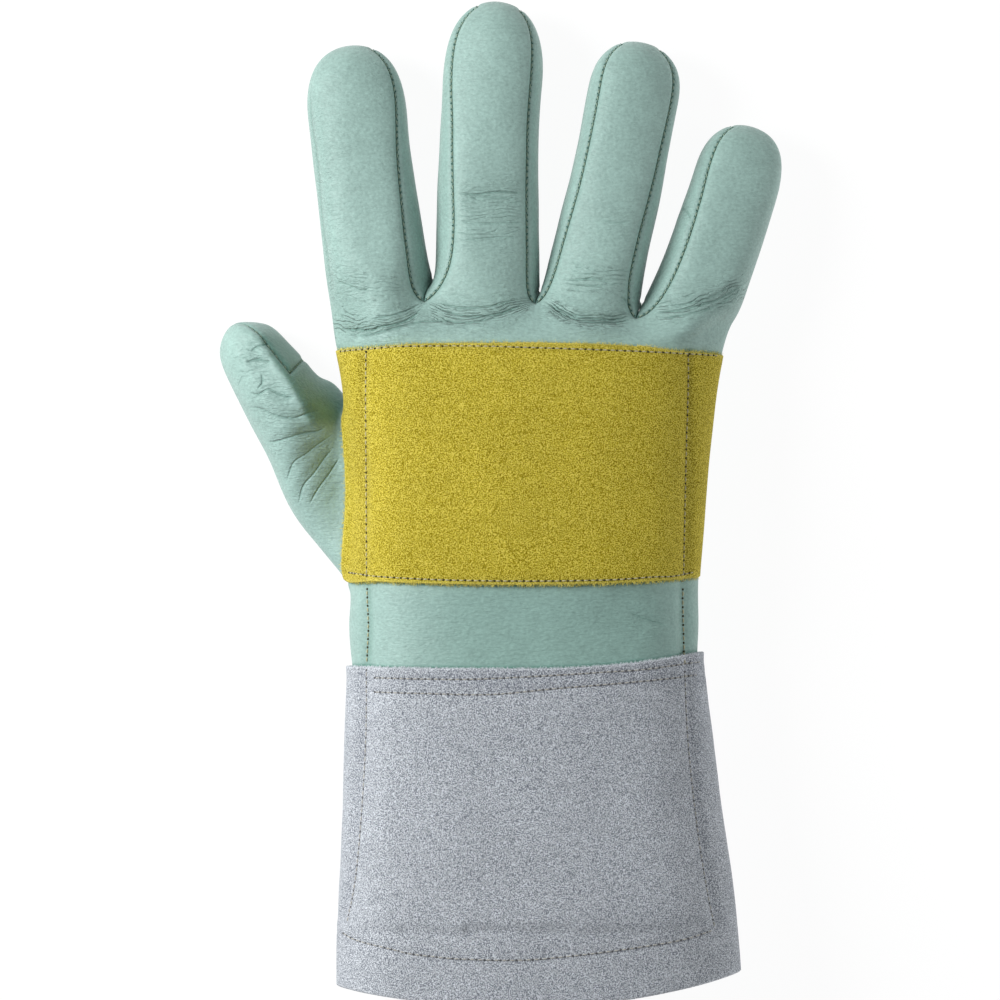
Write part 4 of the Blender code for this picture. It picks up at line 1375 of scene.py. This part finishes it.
def place_stitches(path, normals, pitch, kind, threads, holes=None):
    """Stitches of one kind along a path on the leather, and a dark disc of painted shade at the hole before
    each.
    """
    reach = reach_along(path)
    count = max(1, round(reach[-1] / pitch))
    ends = np.linspace(0, reach[-1], count + 1)
    from_middle = np.abs(2 * STITCH_STEPS - 1)
    arch = (kind.lift - (STITCH_DIP + kind.lift) * from_middle**4)[:, None]
    radii = kind.radius * (1 - STITCH_SLIMMING * from_middle**2)
    for a, b in zip(ends, ends[1:]):
        spare = (b - a) * (1 - kind.cover) / 2
        along = a + spare + (b - a - 2 * spare) * STITCH_STEPS
        up = unit(along_path(along, reach, normals))
        threads.add(along_path(along, reach, path) + up * arch, radii, up)
        if holes:
            before, centre, after = along_path(a + AROUND_HOLE, reach, path)
            spot = unit(along_path(np.array([a]), reach, normals))
            across = HOLE_ACROSS * unit(after - before + SMALL) * kind.hole
            holes.add(centre + across + spot * HOLE_LIFT, kind.hole * HOLE_RADII, np.repeat(spot, 4, axis=0))


def on_top(line, tree):
    """The line dropped from above onto the glove: points and normals."""
    points = []
    normals = []
    for x, y in line:
        hit, normal, _, _ = tree.ray_cast(Vector((x, y, ABOVE_GLOVE)), Vector((0, 0, -1)))
        if hit:
            points.append(hit)
            normals.append(normal)
    return np.array(points), np.array(normals)


def even(values, rounds=3):
    """Evens out a path's values."""
    for _ in range(rounds):
        padded = np.vstack((values[:1], values, values[-1:]))
        values = (padded[:-2] + 2 * values + padded[2:]) / 4
    return values


def tree_of(pieces):
    points = []
    faces = []
    for piece in pieces:
        first = len(points)
        points.extend(vert.co for vert in piece.data.vertices)
        faces.extend(tuple(first + corner for corner in face.vertices) for face in piece.data.polygons)
    return BVHTree.FromPolygons(points, faces)


def seam_paths(surface, name, other):
    """The lines on the surface where two pieces meet."""
    mine, others = (
        {frozenset(edge) for edge in piece_edges(surface.faces_of(piece)).tolist()} for piece in (name, other)
    )
    beside = {}
    for edge in sorted(tuple(sorted(edge)) for edge in mine & others):
        for a, b in (edge, edge[::-1]):
            beside.setdefault(a, []).append(b)
    paths = []
    left = set(beside)
    while left:
        ends = sorted(point for point in left if len(beside[point]) == 1)
        onward = [ends[0] if ends else min(left)]
        path = []
        while onward:
            path.append(onward[0])
            left.discard(onward[0])
            onward = [after for after in beside[path[-1]] if after in left]
        if len(path) > SHORTEST_SEAM:
            paths.append(path)
    return paths


def add_top_stitches(pieces):
    """The stitched lines that show on the back of the glove."""
    tree = tree_of(pieces)
    thread = plain_finish("pale_thread", THREAD, THREAD_ROUGH)
    # The holes are dark discs of painted shade
    dark = plain_finish("stitch_hole", HOLE, HOLE_ROUGH)
    grey = plain_finish("grey_thread", THREAD_GREY, THREAD_ROUGH)
    cuff_hole_shade = plain_finish("cuff_stitch_hole", HOLE_GREY, HOLE_ROUGH)
    # name, line, pitch in millimetres, slot, and the stretch of the glove that has them
    rows = [
        ("patch_top", PATCH_TOP_LINE, 2.4, "patch_suede", ALL_ALONG),
        ("patch_bottom", PATCH_BOTTOM_LINE, 2.2, "patch_suede", ALL_ALONG),
        ("cuff_top", CUFF_TOP_LINE, 2.2, "cuff_suede", ALL_ALONG),
        ("cuff_low", CUFF_LOW_LINE, 2.2, "cuff_suede", ALL_ALONG),
        ("hem", HEM_LINE, 2.4, "cuff_suede", ALL_ALONG),
    ]
    for side, line in (("left", LEFT_LINE), ("right", RIGHT_LINE)):
        rows.append((f"{side}_patch", line, 2.6, "patch_suede", (PATCH_END, math.inf)))
        rows.append((f"{side}_wrist", line, 2.6, "grain_leather", (WRIST_END, PATCH_END)))
        rows.append((f"{side}_cuff", line, 2.6, "cuff_suede", (-math.inf, WRIST_END)))
    for name, line, pitch, slot, (low, high) in rows:
        places = in_mm(line)
        places = places[(places[:, 1] > low) & (places[:, 1] < high)]
        path, normals = on_top(places, tree)
        threads = Strands(sides=6)
        holes = Strands(sides=6)
        place_stitches(even(path, rounds=2), even(normals, rounds=4), pitch * MM, TOP_STITCH, threads, holes)
        on_cuff = slot == "cuff_suede"
        threads.finish(f"{name}_stitches", grey if on_cuff else thread, slot)
        holes.finish(f"{name}_stitch_holes", cuff_hole_shade if on_cuff else dark, slot)


def towards(surface, path, name):
    """From each point of a seam, the direction into this piece."""
    inside = np.zeros(len(surface.points), bool)
    inside[surface.faces_of(name)] = True
    inside[path] = False
    step = np.full_like(surface.points, SMALL)
    for a, b in (surface.edges.T, surface.edges.T[::-1]):
        onward = inside[b]
        np.add.at(step, a[onward], surface.points[b[onward]] - surface.points[a[onward]])
    return unit(step[path])


def add_seam_stitches(surface):
    """The small stitches in the seams between the panels, and those beside them on the side strips."""
    threads, beside, holes = (Strands(sides=5) for _ in range(3))
    strips = sorted({name for pieces in surface.net.pieces for name in pieces if "_strip_" in name})
    pairs = [(panel, strip) for strip in strips for panel in ("back_panel", "palm_panel")]
    pairs += list(zip(strips, strips[1:]))
    pairs += [("back_panel", "palm_panel"), ("thumb_back", "thumb_front"), ("thumb_back", "back_panel")]
    pairs += [("thumb_back", "palm_panel"), ("thumb_front", "palm_panel")]
    for name, other in pairs:
        for path in seam_paths(surface, name, other):
            points = surface.points[path]
            facing = surface.facing[path]
            place_stitches(even(points - facing * SEAM_SINK), facing, SEAM_PITCH, SEAM_STITCH, threads)
            if name == "back_panel" and other in strips:
                drop = roll_depth(surface, points, BESIDE_SEAM)[:, None]
                points = even(points + towards(surface, path, other) * BESIDE_SEAM - facing * drop)
                place_stitches(points, facing, STRIP_PITCH, STRIP_STITCH, beside, holes)
    for strands, name, finish, colour, roughness in (
        (threads, "seam_stitches", "green_thread", THREAD_GREEN, THREAD_ROUGH),
        (beside, "strip_stitches", "pale_green_thread", THREAD_PALE_GREEN, THREAD_ROUGH),
        (holes, "strip_stitch_holes", "seam_hole", HOLE_GREEN, HOLE_ROUGH),
    ):
        strands.finish(name, plain_finish(finish, colour, roughness), "grain_leather")


# The fuzz of raw edges: shares of a fibre's length by which it leans and curls, each between two limits.
FUZZ_FACING = 0.45  # fibres grow where the piece faces up at least this much
FUZZ_LEAN_ALONG = (-1.1, 1.1)
FUZZ_LEAN_UP = (-0.2, 0.7)
FUZZ_REACH = (0.3, 1.0)  # of its greatest length
FUZZ_CURL_ALONG = (-0.5, 0.5)
FUZZ_CURL_UP = (-0.6, 0.1)
FUZZ_ROOT = 0.2 * MM  # fibres begin this far inside the edge
FUZZ_LOWEST = 0.1 * MM
FUZZ_STEPS = np.linspace(0, 1, 4)[:, None]
FUZZ_RADII = np.linspace(0.06, 0.03, 4) * MM


def add_fuzz(surface, name, count, length, wall, material, slot, keep):
    """Fine fibres that stand out along the raw edges of a suede piece."""
    rng = random.Random(name)
    rim = piece_edges(surface.faces_of(name))
    centre = surface.points[rim].mean(axis=1)
    rim = rim[keep(centre) & (surface.facing[rim[:, 0], 2] > FUZZ_FACING)]
    fibres = Strands(sides=3)
    for _ in range(count):
        a, b = rim[rng.randrange(len(rim))]
        share = rng.random()
        start = surface.points[a] * (1 - share) + surface.points[b] * share
        up = surface.facing[a]
        along = unit((surface.points[b] - surface.points[a])[None])[0]
        outward = -np.cross(up, along)
        height = LAYER_GAP + rng.random() * wall
        lean = outward + along * rng.uniform(*FUZZ_LEAN_ALONG) + up * rng.uniform(*FUZZ_LEAN_UP)
        lean /= np.linalg.norm(lean)
        reach = length * rng.uniform(*FUZZ_REACH)
        curl = along * rng.uniform(*FUZZ_CURL_ALONG) + up * rng.uniform(*FUZZ_CURL_UP)
        path = start + up * height - outward * FUZZ_ROOT
        path = path + lean * reach * FUZZ_STEPS + curl * reach * FUZZ_STEPS**2
        path[:, 2] = np.maximum(path[:, 2], FUZZ_LOWEST)
        fibres.add(path, FUZZ_RADII, np.repeat(up[None], len(path), axis=0))
    fibres.finish(f"{name}_fuzz", material, slot)


# The camera looks straight down, as the photograph's did. The lights and the room are pale.
CAMERA_HEIGHT = 2.2
PHOTO_CENTRE = (-7.3 * MM, -10.8 * MM)
PHOTO_SPAN = 305 * MM  # the photograph's width where the outline lies
OUTLINE_HEIGHT = 18 * MM
SENSOR = 36.0
FARTHEST_SEEN = 20
# name, place, size and power of each light
LIGHTS = (("key", (-0.68, 0.22, 0.50), 0.5, 8.3), ("side", (0.78, 0.10, 0.30), 0.4, 1.3))
FLOOR_REACH = 4
FLOOR_DROP = 0.2 * MM
FLOOR_GREY = (0.10, 0.10, 0.10, 1)
FLOOR_GLOW = 0.93
ROOM_COLOUR = (0.97, 0.985, 1.0, 1)
ROOM_STRENGTH = 0.33
WHITE = (1, 1, 1, 1)


def add_camera():
    data = bpy.data.cameras.new("camera")
    data.sensor_width = SENSOR
    data.lens = SENSOR * (CAMERA_HEIGHT - OUTLINE_HEIGHT) / PHOTO_SPAN
    data.clip_end = FARTHEST_SEEN
    camera = add_object("camera", data)
    camera.location = (*PHOTO_CENTRE, CAMERA_HEIGHT)
    bpy.context.scene.camera = camera


def add_light(name, place, size, power):
    data = bpy.data.lights.new(name, "AREA")
    data.shape = "DISK"
    data.size = size
    data.energy = power
    light = add_object(name, data)
    light.location = place
    light.rotation_euler = (-Vector(place)).to_track_quat("-Z", "Y").to_euler()


def add_stage():
    """A pale floor, soft light from the left and a pale room."""
    mesh = bpy.data.meshes.new("floor")
    corners = [(x * FLOOR_REACH, y * FLOOR_REACH, 0) for x, y in ((-1, -1), (1, -1), (1, 1), (-1, 1))]
    mesh.from_pydata(corners, [], [(0, 1, 2, 3)])
    floor = add_object("floor", mesh)
    finish = Finish(
        "floor",
        Base_Color=FLOOR_GREY,
        Roughness=1.0,
        Specular_IOR_Level=0.0,
        Emission_Color=WHITE,
        Emission_Strength=FLOOR_GLOW,
    )
    mesh.materials.append(finish.material)
    floor.location.z = -FLOOR_DROP
    for light in LIGHTS:
        add_light(*light)
    world = bpy.data.worlds.new("room")
    world.use_nodes = True
    background = world.node_tree.nodes["Background"].inputs
    background["Color"].default_value = ROOM_COLOUR
    background["Strength"].default_value = ROOM_STRENGTH
    bpy.context.scene.world = world
    bpy.context.scene.view_settings.view_transform = "Standard"


PATCH_RELIEF = 0.30  # millimetres
CUFF_RELIEF = 0.28
PATCH_RUBBED = 0.5  # how pale the raw edges are rubbed
CUFF_RUBBED = 0.2
PATCH_FUZZ = (2200, 1.4 * MM)  # fibres and their greatest length
CUFF_FUZZ = (900, 0.9 * MM)
PATCH_FUZZ_FROM = 6 * MM  # height above the floor
CUFF_FUZZ_SPAN = 2 * MM  # only the cuff's top edge has fuzz


def main():
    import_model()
    add_camera()
    add_stage()
    net = glove_net()
    surface = Surface(net)
    surface.rest_on_floor()
    shape_surface(surface)
    grain = grain_leather()
    patch = suede("patch_suede", YELLOW, YELLOW_DEEP, YELLOW_PALE, PATCH_RELIEF, PATCH_RUBBED)
    cuff = suede("cuff_suede", GREY, GREY_DEEP, GREY_PALE, CUFF_RELIEF, CUFF_RUBBED)
    names = {name for pieces in net.pieces for name in pieces}
    pieces = []
    for name in sorted(names - set(RAW_EDGES)):
        pieces.append(leather_piece(surface, name, -HAND_WALL, 0, grain, "grain_leather"))
    patch_over = LAYER_GAP + PATCH_WALL
    pieces.append(leather_piece(surface, "back_patch", LAYER_GAP, patch_over, patch, "patch_suede"))
    cuff_over = LAYER_GAP + CUFF_WALL
    for name in ("cuff_back", "cuff_palm"):
        pieces.append(leather_piece(surface, name, LAYER_GAP, cuff_over, cuff, "cuff_suede"))
    add_top_stitches([piece for piece in pieces if piece.name.startswith(("back_", "cuff_back"))])
    add_seam_stitches(surface)
    yellow_fibre = plain_finish("yellow_fibre", YELLOW_PALE, FIBRE_ROUGH)
    grey_fibre = plain_finish("grey_fibre", GREY_PALE, FIBRE_ROUGH)

    def on_patch(place):
        return place[:, 2] > PATCH_FUZZ_FROM

    def on_cuff_top(place):
        return place[:, 1] > hand_y(0) - CUFF_FUZZ_SPAN

    add_fuzz(surface, "back_patch", *PATCH_FUZZ, PATCH_WALL, yellow_fibre, "patch_suede", on_patch)
    add_fuzz(surface, "cuff_back", *CUFF_FUZZ, CUFF_WALL, grey_fibre, "cuff_suede", on_cuff_top)


main()
